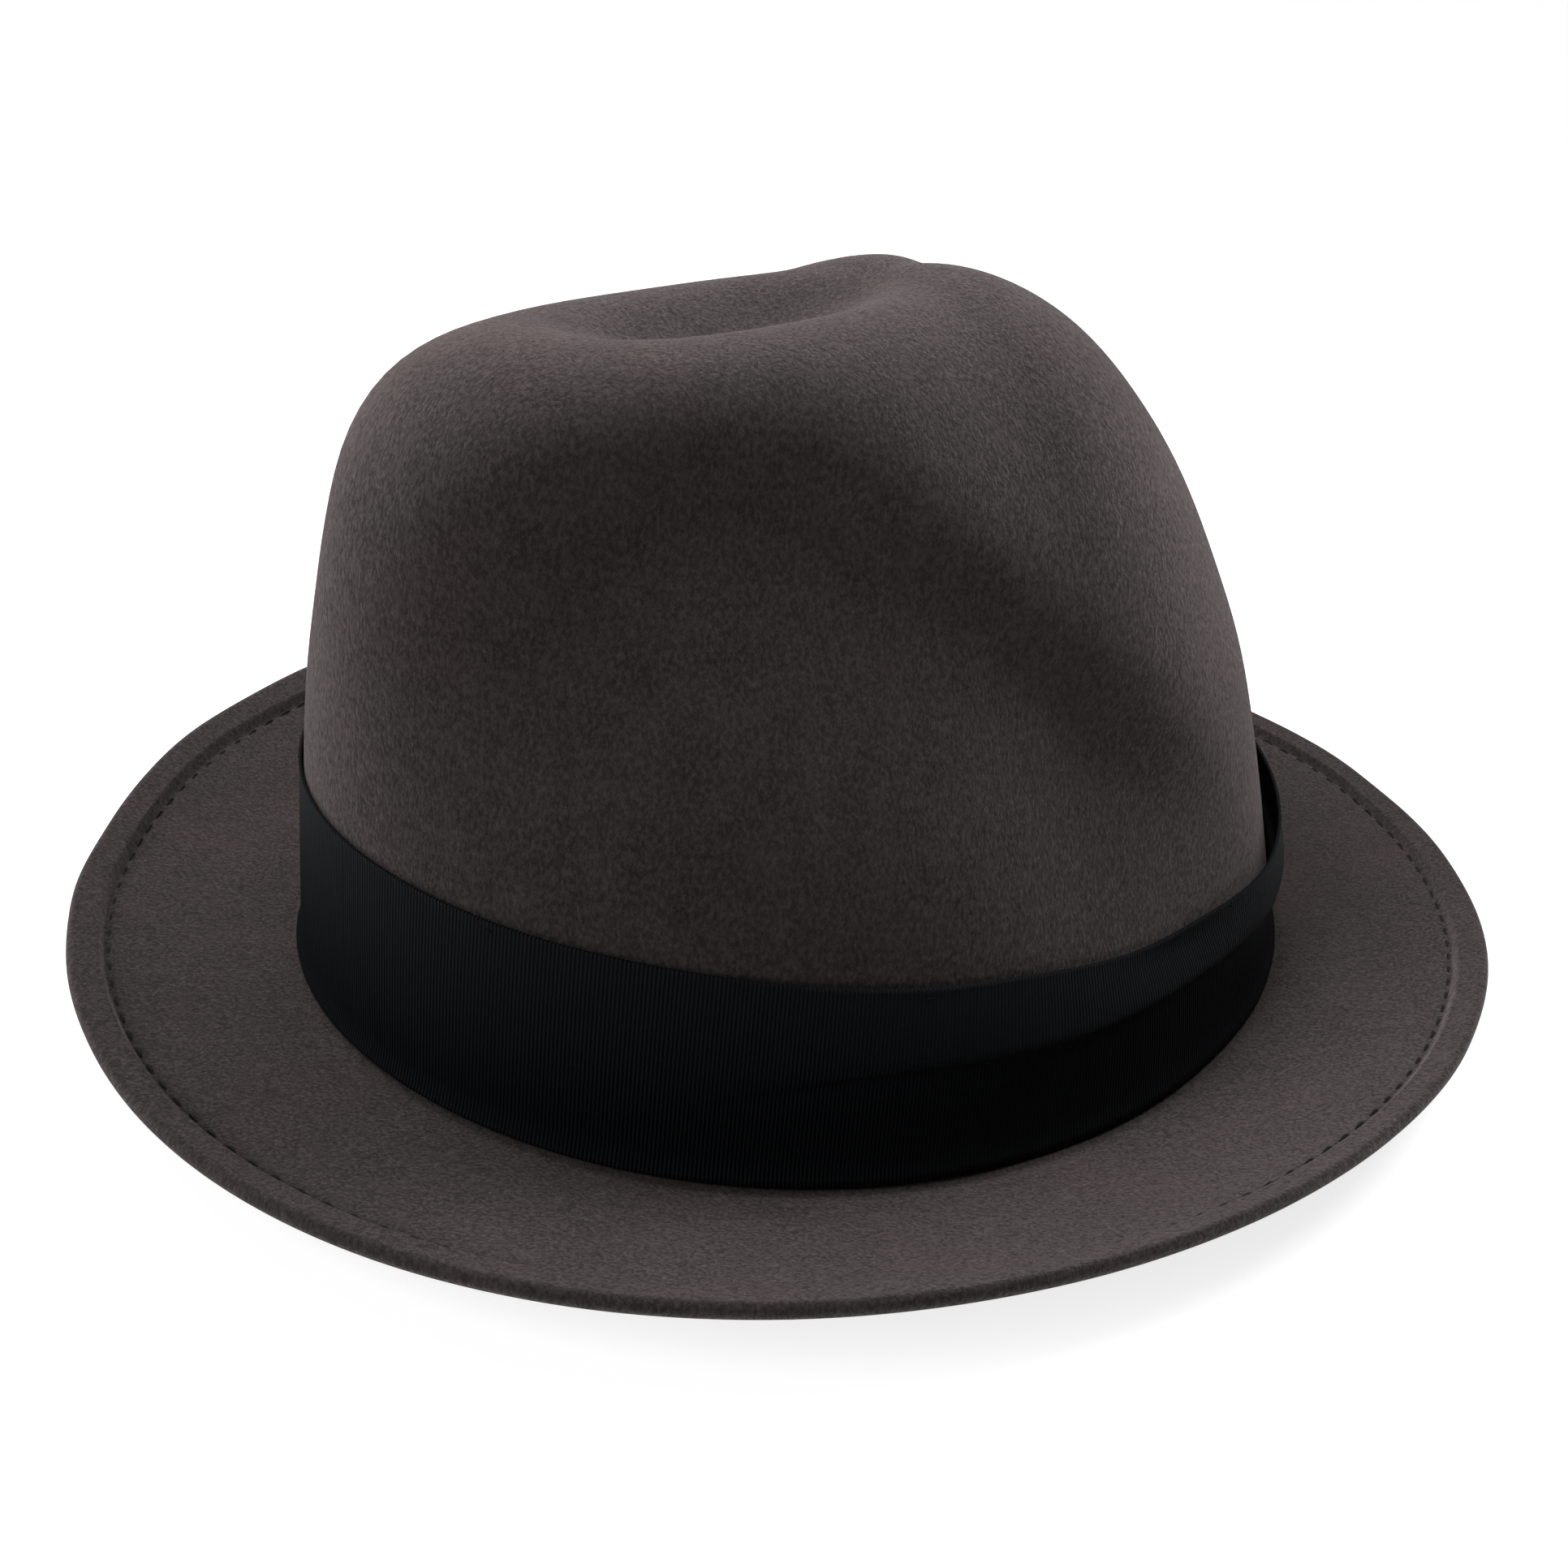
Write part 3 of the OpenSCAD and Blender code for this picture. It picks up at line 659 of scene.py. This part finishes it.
def felt_grid():
    """Profiles of the felt, from inside the top, under the brim and back up outside."""
    th = all_round(STATIONS)
    half = (WELT_LIFT + FELT) / 2
    rows = [crown_in(th, r, np.full(STATIONS, FELT)) for r in np.arange(88, 1, -2.0)]
    inner_bend = BEND_RADIUS + FELT
    rows += [wall(th, BEND_RADIUS - inner_bend * cos(f), BEND_RADIUS - inner_bend * sin(f))
             for f in np.arange(90, -1, -9.0)]
    rows += [brim_top(th, part, -FELT) for part in np.arange(0.12, 0.93, 0.08)]
    rows += [brim_top(th, inset(EDGE_ROUND * (1 - cos(f))), half * sin(f) + half - FELT)
             for f in np.arange(-90, 91, 10.0)]
    rows += [brim_top(th, inset(w), WELT_LIFT) for w in np.arange(2.6, WELT_WIDTH - WELT_FALL, 0.7)]
    for t in np.arange(0, 1.01, 0.125):
        drop = (WELT_LIFT + GROOVE) * smooth(t)
        rows.append(brim_top(th, inset(WELT_WIDTH - WELT_FALL * (1 - t)), WELT_LIFT - drop))
    for t in np.arange(0.25, 1.01, 0.25):
        rows.append(brim_top(th, inset(WELT_WIDTH + t), -GROOVE * (1 - smooth(t))))
    rows += [brim_top(th, part) for part in np.arange(inset(WELT_WIDTH + 2), 0.09, -0.04)]
    rows += [wall(th, BEND_RADIUS * (1 - cos(f)), BEND_RADIUS * (1 - sin(f)))
             for f in np.arange(0, 91, 9.0)]
    rows += [crown(th, r) for r in np.arange(2.5, 89, 1.5)]
    return np.stack(rows, axis=1)


def build_felt():
    """Crown, brim and welt in one piece."""
    grid = felt_grid()
    shape = grid.shape
    grid = uneven(grid.reshape(-1, 3), WAVE_SIZE, WAVE).reshape(shape)
    tops = uneven(np.array([top_in(FELT), crown(0.0, 90.0)]), WAVE_SIZE, WAVE)
    add_bowl("felt_hat_body", grid, tops[0], tops[1], "felt", "felt_body")


def build_welt_stitching():
    """The running stitch that holds the welt down, sunk beside its raw edge."""
    beside = 0.45
    lift = 0.1
    width, height = 0.6, 0.5
    line = inset(WELT_WIDTH + beside)
    upwards = np.array((0, 0, 1.0))
    grids = []
    for i in range(WELT_STITCHES):
        a = brim_top(i * 360 / WELT_STITCHES, line, lift)
        b = brim_top((i + WELT_STITCH_SHARE) * 360 / WELT_STITCHES, line, lift)
        grids.append(thread_grid(a, b, upwards, width, height))
    add_strips("welt_stitches", grids, "welt_thread", "welt_stitching")


# ------------------------------------------------------------------ ribbon band

BAND_STATIONS = 600
BAND_FOOT = 0.8                  # height of the ribbon's lower edge above the brim
PLEAT_START = 34.0               # where the long pleat begins, in degrees
PLEAT_END = 178.0                # it has gone where the bow starts
PLEAT_GROW = 60.0                # degrees over which it grows to its full depth
PLEAT_FADE = 30.0                # degrees over which it fades out
FOLD_CLIMB = 50.0                # degrees over which the fold line climbs
FOLD_FULL = 95.0                 # from here on it sinks again
FOLD_HIGH = 0.6                  # height of the fold, as part of the ribbon's width
FOLD_SINK = 0.15                 # how much it sinks towards the bow
FOLD_LOW = 0.2                   # its height where there is no pleat
PLEAT_ROUND = 0.3                # part of the strip above the fold that swells outwards
LIP = 0.2                        # part of it that turns down over the fold
EDGE_SINK = 4.0                  # how far the upper edge sinks behind the side
EDGE_SINK_FROM = 75.0            # where it starts to sink
STAND_OFF = 1.4                  # how far the upper edge stands away behind the side
STAND_OFF_FROM = 100.0           # where it starts to stand away
FOOT_FLARE = 0.8                 # how far the lower edge turns out over the brim's bend
FOOT_PART = 0.1                  # part of the ribbon's width that turns out
DIMPLE_ANGLE = 103.0             # a dimple in the pleat
DIMPLE_SPREAD = 9.0              # its half width in degrees
DIMPLE_DEPTH = 1.4
DIMPLE_PLACE = 0.7               # between the fold (0) and the upper edge (1)
DIMPLE_HIGH = 0.25               # its half height on the same scale
SELVEDGE = 0.12                  # how far the woven edges stand proud
SELVEDGE_WIDTH = 0.7
TACKS = 8


def pleat(th):
    """How strong the pleat is, from 0 to 1."""
    return smooth((th - PLEAT_START) / PLEAT_GROW) * smooth((PLEAT_END - th) / PLEAT_FADE)


def sunk_edge(th):
    """How far the upper edge has sunk at the angle th."""
    return EDGE_SINK * pleat(th) * smooth((th - EDGE_SINK_FROM) / PLEAT_FADE)


def fold_line(th):
    """Where the fold runs, as a fraction of the ribbon's width from its lower edge."""
    climb = np.clip((th - PLEAT_START) / FOLD_CLIMB, 0, 1)
    sink = np.maximum(0, (th - FOLD_FULL) / (BOW_ANGLE - FOLD_FULL))
    return np.maximum(FOLD_LOW, FOLD_HIGH * np.sqrt(sin(90 * climb)) - FOLD_SINK * sink)


def band_line(th, v):
    """Middle line of the ribbon, from its lower edge (v = 0) out and down over the fold and
    up to its upper edge (v = 1), as distance from the crown's wall and height."""
    fold = fold_line(th)
    w = np.maximum(0, (v - fold) / (1 - fold))
    bulge = sin(90 * np.minimum(w / PLEAT_ROUND, 1)) * (1 - 0.6 * w)
    away = (STAND_OFF * smooth((th - STAND_OFF_FROM) / PLEAT_FADE)
            * smooth((PLEAT_END - th) / PLEAT_FADE))
    flare = FOOT_FLARE * np.maximum(0, 1 - v / FOOT_PART)
    turn = (th - DIMPLE_ANGLE) / DIMPLE_SPREAD
    up = (w - DIMPLE_PLACE) / DIMPLE_HIGH
    sunk = DIMPLE_DEPTH * np.exp(-turn * turn - up * up)
    out = GAP + RIBBON / 2 + flare + pleat(th) * PLEAT_DEPTH * bulge + away * v * v - sunk
    height = (BAND_FOOT + RIBBON_WIDTH * v - pleat(th) * PLEAT_SAG * smooth(w / LIP)
              - sunk_edge(th) * w * w)
    return np.stack(np.broadcast_arrays(out, height), axis=-1)


def band_point(th, v, skin):
    """A point of the ribbon: skin 1 is its outside and -1 its back."""
    step = 0.004
    t = band_line(th, v + step) - band_line(th, v - step)
    t = t / np.linalg.norm(t, axis=-1, keepdims=True)
    q = band_line(th, v)
    half = skin * RIBBON / 2
    return wall(th, q[..., 1] - half * t[..., 0], q[..., 0] + half * t[..., 1])


def band_heights(th):
    """Places across the ribbon at the angles th, closer together round the fold."""
    fold = fold_line(th)[:, None]
    below = np.linspace(0, 1, 14)[:-1] * fold
    over = fold + (1 - fold) * PLEAT_ROUND * np.linspace(0, 1, 26)[:-1]
    above = fold + (1 - fold) * np.linspace(PLEAT_ROUND, 1, 22)
    return np.concatenate([below, over, above], axis=1)


def build_band():
    """The ribbon round the crown, with its pleat and slightly raised woven edges."""
    th = all_round(BAND_STATIONS)
    v = band_heights(th)
    edge = np.minimum(v, 1 - v) * RIBBON_WIDTH
    bead = 1 + SELVEDGE / (RIBBON / 2) * (edge < SELVEDGE_WIDTH)
    front = band_point(th[:, None], v, bead)
    back = band_point(th[:, None], v[:, ::-1], -1)
    add_ring("grosgrain_band", np.concatenate([front, back], axis=1), "ribbon",
             "ribbon_band")


def build_band_tacks():
    """Short stitches that hold the ribbon's upper edge to the felt."""
    half = 0.4
    place = 0.96
    lift = 0.1
    width, height = 0.5, 0.3
    grids = []
    for i in range(TACKS):
        th = (i + 0.5) * 360 / TACKS
        up = np.array((*outward(th), 0.0))
        a = band_point(th - half, place, 1) + lift * up
        b = band_point(th + half, place, 1) + lift * up
        grids.append(thread_grid(a, b, up, width, height))
    add_strips("band_tack_stitches", grids, "black_thread", "band_tacks")


# ------------------------------------------------------------------ bow

BOW_MIDDLE = BAND_FOOT + RIBBON_WIDTH / 2
WAIST = 7.5                      # half height of the loops at the knot
FLARE = 7.5                      # how much higher they are at their ends
GATHER = 0.35                    # depth of the ripples at the knot
KNOT_HALF = 6.0                  # half length of the knot along the band
TAIL_NOTCH = 6.0                 # depth of the notches in the tail's ends
TAIL_HIGH = 16.0                 # its half height
TAIL_PAST = 8.0                  # how far it reaches past the loops

# how far the layers of the bow lie from the felt
TAIL_OUT = GAP + RIBBON + GAP
KNOT_OUT = TAIL_OUT + RIBBON + GAP
LOOP_OUT = KNOT_OUT + RIBBON + GAP + RIBBON / 2
LOOP_TURN = 1.7                  # radius of the turn at a loop's end
GRIP = 0.9                       # thickness of a loop where the knot holds it

# millimetres along the band for one degree at the bow
DEGREE = math.pi / 180 * math.hypot(BASE_B * cos(BOW_ANGLE), BASE_A * sin(BOW_ANGLE))


def bow_point(along, up, out):
    """A point of the bow: along the band, height from the bow's middle, and out."""
    return wall(BOW_ANGLE + along / DEGREE, BOW_MIDDLE + up, out)


def loop_path(steps):
    """One loop as a path of along and out from the knot, round its end and back."""
    start = 1.5
    swell = 1.2
    end = LOOP_LENGTH - LOOP_TURN
    t = np.linspace(0, 1, steps)
    front = np.stack([start + (end - start) * t, 0 * t], 1)
    f = np.linspace(-80, 80, 11)
    turn = np.stack([end + LOOP_TURN * cos(f), LOOP_TURN + LOOP_TURN * sin(f)], 1)
    s = t[::-1]
    puff = GRIP + (2 * LOOP_TURN - GRIP) * s + swell * sin(180 * s)
    back = np.stack([start + (end - start) * s, puff], 1)
    return np.concatenate([front, turn, back])


def loop_grid(side):
    """A loop's strip of ribbon; side is -1 before the knot, counting angles, and 1 after."""
    path = loop_path(22)
    tangent = np.gradient(path, axis=0)
    normal = np.stack([-tangent[:, 1], tangent[:, 0]], 1)
    normal /= np.linalg.norm(normal, axis=1, keepdims=True)
    across = np.linspace(-1, 1, 25)
    high = WAIST + FLARE * smooth(path[:, 0] / (0.8 * LOOP_LENGTH))
    gather = GATHER * (1 - smooth((path[:, 0] - 4) / (0.6 * LOOP_LENGTH)))
    ripple = 0.5 * (1 - cos(across * 540))

    def face(way):
        q = path[:, None, :] + way * normal[:, None, :] * RIBBON / 2
        out = LOOP_OUT + q[..., 1] + gather[:, None] * ripple[None, :] * np.sign(path[:, 1:2])
        return bow_point(side * q[..., 0], high[:, None] * across[None, :] * side, out)

    outside = face(1)
    inside = face(-1)
    return np.concatenate([inside, outside[:, ::-1]], axis=1)


def build_bow_loop(side, name, node):
    """One of the two loops."""
    add_strips(name, [loop_grid(side)], "ribbon", node)


def build_knot():
    """The strip wrapped round the loops' waist."""
    thick = GRIP + RIBBON + 2 * GAP
    middle = LOOP_OUT + GRIP / 2
    tall = WAIST + 0.8
    corner = 0.4
    f = (np.arange(96) + 0.5) * 360 / 96
    c = np.sign(cos(f)) * np.abs(cos(f)) ** corner
    s = np.sign(sin(f)) * np.abs(sin(f)) ** corner
    k = np.linspace(-1, 1, 17)[None, :]
    crease = 0.5 * np.abs(sin(k * 180)) * np.maximum(0, cos(f))[:, None] ** 0.5

    def face(skin, extra):
        up = (tall + skin * RIBBON) * s[:, None] + 0 * k
        out = middle + (thick / 2 + skin * RIBBON) * c[:, None] + extra
        return bow_point(k * KNOT_HALF, up, out)

    grid = np.concatenate([face(0, crease), face(1, crease)[:, ::-1]], axis=1)
    add_ring("ribbon_bow_knot", grid, "ribbon", "bow_knot")


def build_tail():
    """The flat strip under the loops, with notched ends."""
    half = LOOP_LENGTH + TAIL_PAST
    f = np.linspace(-1, 1, 61)[:, None]
    k = np.linspace(-1, 1, 21)[None, :]
    along = f * (half - TAIL_NOTCH * f ** 8 * (1 - np.abs(k)))
    back = bow_point(along, TAIL_HIGH * k, TAIL_OUT + 0 * along)
    front = bow_point(along, TAIL_HIGH * k, TAIL_OUT + RIBBON + 0 * along)
    grid = np.concatenate([front, back[:, ::-1]], axis=1)
    add_strips("ribbon_bow_tail", [grid], "ribbon", "bow_tail")


# ------------------------------------------------------------------ sweatband

INSIDE_STATIONS = 240
REED = 0.8                       # radius of the reed
REED_HEIGHT = -0.8
REED_OUT = (LEATHER_OUT + LEATHER_IN) / 2 + 0.1
TAPE = 0.3                       # thickness of the tape round it
TAPE_RADIUS = 1.1
SEAM_STITCHES = 80
SEAM_STITCH_SHARE = 0.45         # of a stitch's pitch that shows


def build_sweatband():
    """The leather band, standing slightly wavy at its upper edge."""
    th = all_round(INSIDE_STATIONS)
    rows = np.linspace(0.5, SWEATBAND_HEIGHT, 30)
    outer = [wall(th, h, -LEATHER_OUT) for h in rows]
    wave = 0.25 * sin(7 * th) + 0.15 * sin(13 * th + 40)
    inner = [wall(th, h, -LEATHER_IN + (wave - 0.4) * (h / SWEATBAND_HEIGHT) ** 2)
             for h in rows[::-1]]
    grid = np.stack(outer + inner, axis=1)
    add_ring("leather_sweatband", grid, "leather", "sweatband")


def build_reed():
    """The round reed in the sweatband's lower edge."""
    th = all_round(INSIDE_STATIONS)
    f = np.arange(0, 360, 30.0)
    grid = np.stack([wall(th, REED_HEIGHT + REED * sin(a), -REED_OUT + REED * cos(a))
                     for a in f], axis=1)
    add_ring("sweatband_reed_core", grid, "reed", "sweatband_reed")


def tape_rows(th, radius):
    """The tape's outline: down outside the leather, round the reed and up inside."""
    rows = [wall(th, h, -REED_OUT + radius) for h in np.linspace(8, 1, 8)]
    rows += [wall(th, REED_HEIGHT + radius * sin(f), -REED_OUT + radius * cos(f))
             for f in np.arange(0, -181, -15.0)]
    rows += [wall(th, h, -REED_OUT - radius) for h in np.linspace(1, 6, 6)]
    return rows


def build_tape():
    """Cloth tape folded round the reed, one leg on each side of the leather."""
    th = all_round(INSIDE_STATIONS)
    inner = tape_rows(th, TAPE_RADIUS - TAPE / 2)
    outer = tape_rows(th, TAPE_RADIUS + TAPE / 2)
    add_ring("reed_cloth_tape", np.stack(inner + outer[::-1], axis=1), "tape",
             "reed_tape")


def build_sweatband_stitching():
    """The row of stitches through tape and leather."""
    pitch = 360 / SEAM_STITCHES
    seam = 3.5
    depth = REED_OUT + TAPE_RADIUS + TAPE / 2 + 0.25
    width, height = 0.5, 0.4
    grids = []
    for i in range(SEAM_STITCHES):
        th = i * pitch
        inward = -np.array((*outward(th), 0.0))
        a = wall(th + SEAM_STITCH_SHARE * pitch, seam, -depth)
        b = wall(th, seam, -depth)
        grids.append(thread_grid(a, b, inward, width, height))
    add_strips("sweatband_stitches", grids, "stitch_thread", "sweatband_stitching")


def build_sweatband_bow():
    """Small flat bow over the sweatband's join at the rear."""
    span = 12.0
    height = 14.0
    depth = LEATHER_IN + 0.6
    thick = 0.9
    step = 180 / (math.pi * BASE_B)
    grids = []
    k = np.linspace(-1, 1, 9)
    for side in (-1, 1):
        a = np.linspace(2, span, 13)[:, None]
        high = 1.2 + 3.2 * smooth((a - 2) / 7.5)
        th = 180 + side * a * step
        puff = 0.5 * sin(180 * (a - 2) / (span - 2)) * (1 - k * k)
        up = height + side * k * high
        back = wall(th, up, -depth + 0 * up)
        front = wall(th, up, -depth - thick - puff)
        grids.append(np.concatenate([front, back[:, ::-1]], axis=1))
    a = np.linspace(-1.6, 1.6, 9)[:, None]
    up = height + 2.2 * k
    th = 180 + a * step
    back = wall(th, up, -depth + 0 * (a + up))
    front = wall(th, up, -depth - 1.3 - 0.4 * (1 - (a / 1.6) ** 2) + 0 * up)
    grids.append(np.concatenate([front, back[:, ::-1]], axis=1))
    add_strips("sweatband_rear_bow", grids, "ribbon", "sweatband_bow")


# ------------------------------------------------------------------ lining

SEAM_RISE = 50.0                 # where the lining's side meets its tip
LINING_FOOT_RISE = 5.0           # where the lining starts, behind the sweatband
GATHERS = 48
GATHER_DEPTH = 0.8


def gather_depth(th, rise):
    """Small folds of the lining's side, deepest at the seam with its tip."""
    fold = np.abs(sin(th * GATHERS / 2)) * (0.7 + 0.3 * sin(th * 11))
    return GATHER_DEPTH * fold * smooth((rise - 15) / 35)


def build_lining_side():
    """The gathered side of the lining."""
    th = all_round(720)
    rises = np.arange(LINING_FOOT_RISE, SEAM_RISE + 0.1, 2.5)
    inner = [crown_in(th, r, LINING_OUT + SATIN + gather_depth(th, r)) for r in rises[::-1]]
    outer = [crown_in(th, r, np.full(th.size, LINING_OUT)) for r in rises]
    add_ring("satin_lining_side", np.stack(inner + outer, axis=1), "satin",
             "lining_side")


def build_lining_tip():
    """The smooth tip of the lining inside the crown's top."""
    th = all_round(INSIDE_STATIONS)
    rises = np.concatenate([[SEAM_RISE + 2], np.arange(SEAM_RISE + 4, 88, 2.0)])
    inner = [crown_in(th, r, np.full(th.size, LINING_OUT + SATIN)) for r in rises[::-1]]
    outer = [crown_in(th, r, np.full(th.size, LINING_OUT)) for r in rises]
    add_bowl("satin_lining_tip", np.stack(inner + outer, axis=1),
             top_in(LINING_OUT + SATIN), top_in(LINING_OUT), "satin", "lining_tip")


def build_piping():
    """Twisted cord over the seam between the lining's side and its tip."""
    cord = 0.8
    depth = LINING_OUT + SATIN + GAP + cord
    spread = 0.4
    strands = 3
    twists = 70
    th = all_round(1200)
    rows = []
    for f in np.arange(0, 360, 30.0):
        swell = 1 + 0.16 * cos(strands * (f + th * twists / strands))
        rows.append(crown_in(th, SEAM_RISE + 1 + spread * swell * sin(f),
                             depth - cord * swell * cos(f)))
    add_ring("lining_piping_cord", np.stack(rows, axis=1), "piping",
             "lining_piping")


def build_size_tab():
    """Blank tab on the sweatband, left of the little bow."""
    middle = 160.0
    height = 25
    half = 6.0
    thick = 0.25
    rounding = 0.15
    depth = LEATHER_IN + 0.4
    k = np.linspace(-1, 1, 17)
    a = np.linspace(-half, half, 25)[:, None]
    corner = np.maximum(0, np.abs(a) / half - (1 - rounding)) / rounding
    high = half * (1 - rounding * corner ** 2)
    curl = 0.35 * (a / half) ** 2
    up = height + high * k
    back = wall(middle + a, up, -depth - curl + 0 * up)
    front = wall(middle + a, up, -depth - thick - curl + 0 * up)
    grid = np.concatenate([front, back[:, ::-1]], axis=1)
    add_strips("blank_size_tab", [grid], "tab", "size_tab")


build_felt()
build_welt_stitching()
build_band()
build_band_tacks()
build_tail()
build_bow_loop(-1, "ribbon_bow_front_loop", "bow_front_loop")
build_bow_loop(1, "ribbon_bow_rear_loop", "bow_rear_loop")
build_knot()
build_sweatband()
build_reed()
build_tape()
build_sweatband_stitching()
build_sweatband_bow()
build_lining_side()
build_lining_tip()
build_piping()
build_size_tab()

# ------------------------------------------------------------------ floor, light, camera

FLOOR_HALF = 3.0                 # in metres, as everything below
FLOOR_GLOW = 0.8
LAMP_SIZE = 0.25
LAMP_AIM = 0.06                  # height in the crown at which the lamps point
KEY_POWER = 2.1
KEY_ANGLE = 45.0                 # how soft the key light is, in degrees
SKY_POWER = 0.05
VIEW_AZIMUTH = 50.0              # from the front towards the wearer's left
VIEW_ELEVATION = 31.1
VIEW_ROLL = -5.96
VIEW_DISTANCE = 0.45
LENS = 50.3                      # in millimetres, on a sensor 36 mm wide
SENSOR = 36
SHIFT_X = -0.0163
SHIFT_Y = 0.0756


def build_floor():
    """A plain pale floor just under the hat, lit from within like a studio light table."""
    low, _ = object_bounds()
    mesh = bpy.data.meshes.new("floor")
    z = low.z - 0.2 * MM
    corners = [(-1, -1), (1, -1), (1, 1), (-1, 1)]
    mesh.from_pydata([(x * FLOOR_HALF, y * FLOOR_HALF, z) for x, y in corners],
                     [], [(0, 1, 2, 3)])
    paint = Cloth("floor_paint", 0.85)
    grain = paint.spread(paint.noise(2.0, paint.coordinates()), 0.3, 0.7)
    paint.colour(paint.mix(grain, (0.44, 0.44, 0.44), (0.46, 0.46, 0.46)))
    paint.shader.inputs["Emission Color"].default_value = (1, 1, 1, 1)
    paint.shader.inputs["Emission Strength"].default_value = FLOOR_GLOW
    mesh.materials.append(paint.material)
    floor = bpy.data.objects.new("floor", mesh)
    bpy.context.scene.collection.objects.link(floor)


def view_axes():
    """The camera's right, up and back, for a view rolled a little to one side."""
    a, e, r = (math.radians(v) for v in (VIEW_AZIMUTH, VIEW_ELEVATION, VIEW_ROLL))
    back = Vector((math.sin(a) * math.cos(e), -math.cos(a) * math.cos(e), math.sin(e)))
    right = Vector((math.cos(a), math.sin(a), 0))
    up = back.cross(right)
    rolled_right = math.cos(r) * right - math.sin(r) * up
    rolled_up = math.sin(r) * right + math.cos(r) * up
    return rolled_right, rolled_up, back


def build_lamp(name, place, power):
    """A round soft lamp at place, aimed at the middle of the crown."""
    lamp = bpy.data.lights.new(name, "AREA")
    lamp.shape = "DISK"
    lamp.size = LAMP_SIZE
    lamp.energy = power
    thing = bpy.data.objects.new(name, lamp)
    thing.location = place
    away = place - Vector((0, 0, LAMP_AIM))
    thing.rotation_euler = away.to_track_quat("Z", "Y").to_euler()
    bpy.context.scene.collection.objects.link(thing)


def build_key_light(direction):
    """Soft even light from one direction over the hat and the whole floor."""
    lamp = bpy.data.lights.new("key_light", "SUN")
    lamp.energy = KEY_POWER
    lamp.angle = math.radians(KEY_ANGLE)
    thing = bpy.data.objects.new("key_light", lamp)
    thing.rotation_euler = direction.to_track_quat("Z", "Y").to_euler()
    bpy.context.scene.collection.objects.link(thing)


def build_lights():
    """Soft light from the view's left and three lamps over the crown."""
    _, _, back = view_axes()
    level = Vector((0, 0, 1))
    toward = Vector((back.x, back.y, 0)).normalized()
    across = Vector((-toward.y, toward.x, 0))
    build_key_light(level * 0.6 + toward * 0.5 - across * 0.7)
    build_lamp("top_lamp", level * 0.45 - toward * 0.05, 1.65)
    build_lamp("left_lamp", level * 0.4 - across * 0.3 - toward * 0.1, 1.85)
    build_lamp("right_lamp", level * 0.4 + across * 0.3 - toward * 0.1, 1.75)
    world = bpy.data.worlds.new("studio")
    world.use_nodes = True
    sky = world.node_tree.nodes["Background"]
    sky.inputs["Color"].default_value = (1, 1, 1, 1)
    sky.inputs["Strength"].default_value = SKY_POWER
    bpy.context.scene.world = world
    bpy.context.scene.view_settings.view_transform = "Standard"


def build_camera():
    """The camera, close to the hat and rolled a little."""
    right, up, back = view_axes()
    eye = bpy.data.cameras.new("camera")
    eye.sensor_width = SENSOR
    eye.lens = LENS
    eye.shift_x = SHIFT_X
    eye.shift_y = SHIFT_Y
    eye.clip_start = 0.01
    thing = bpy.data.objects.new("camera", eye)
    turn = Matrix((right, up, back)).transposed().to_4x4()
    thing.matrix_world = Matrix.Translation(back * VIEW_DISTANCE) @ turn
    bpy.context.scene.collection.objects.link(thing)
    bpy.context.scene.camera = thing


build_floor()
build_lights()
build_camera()
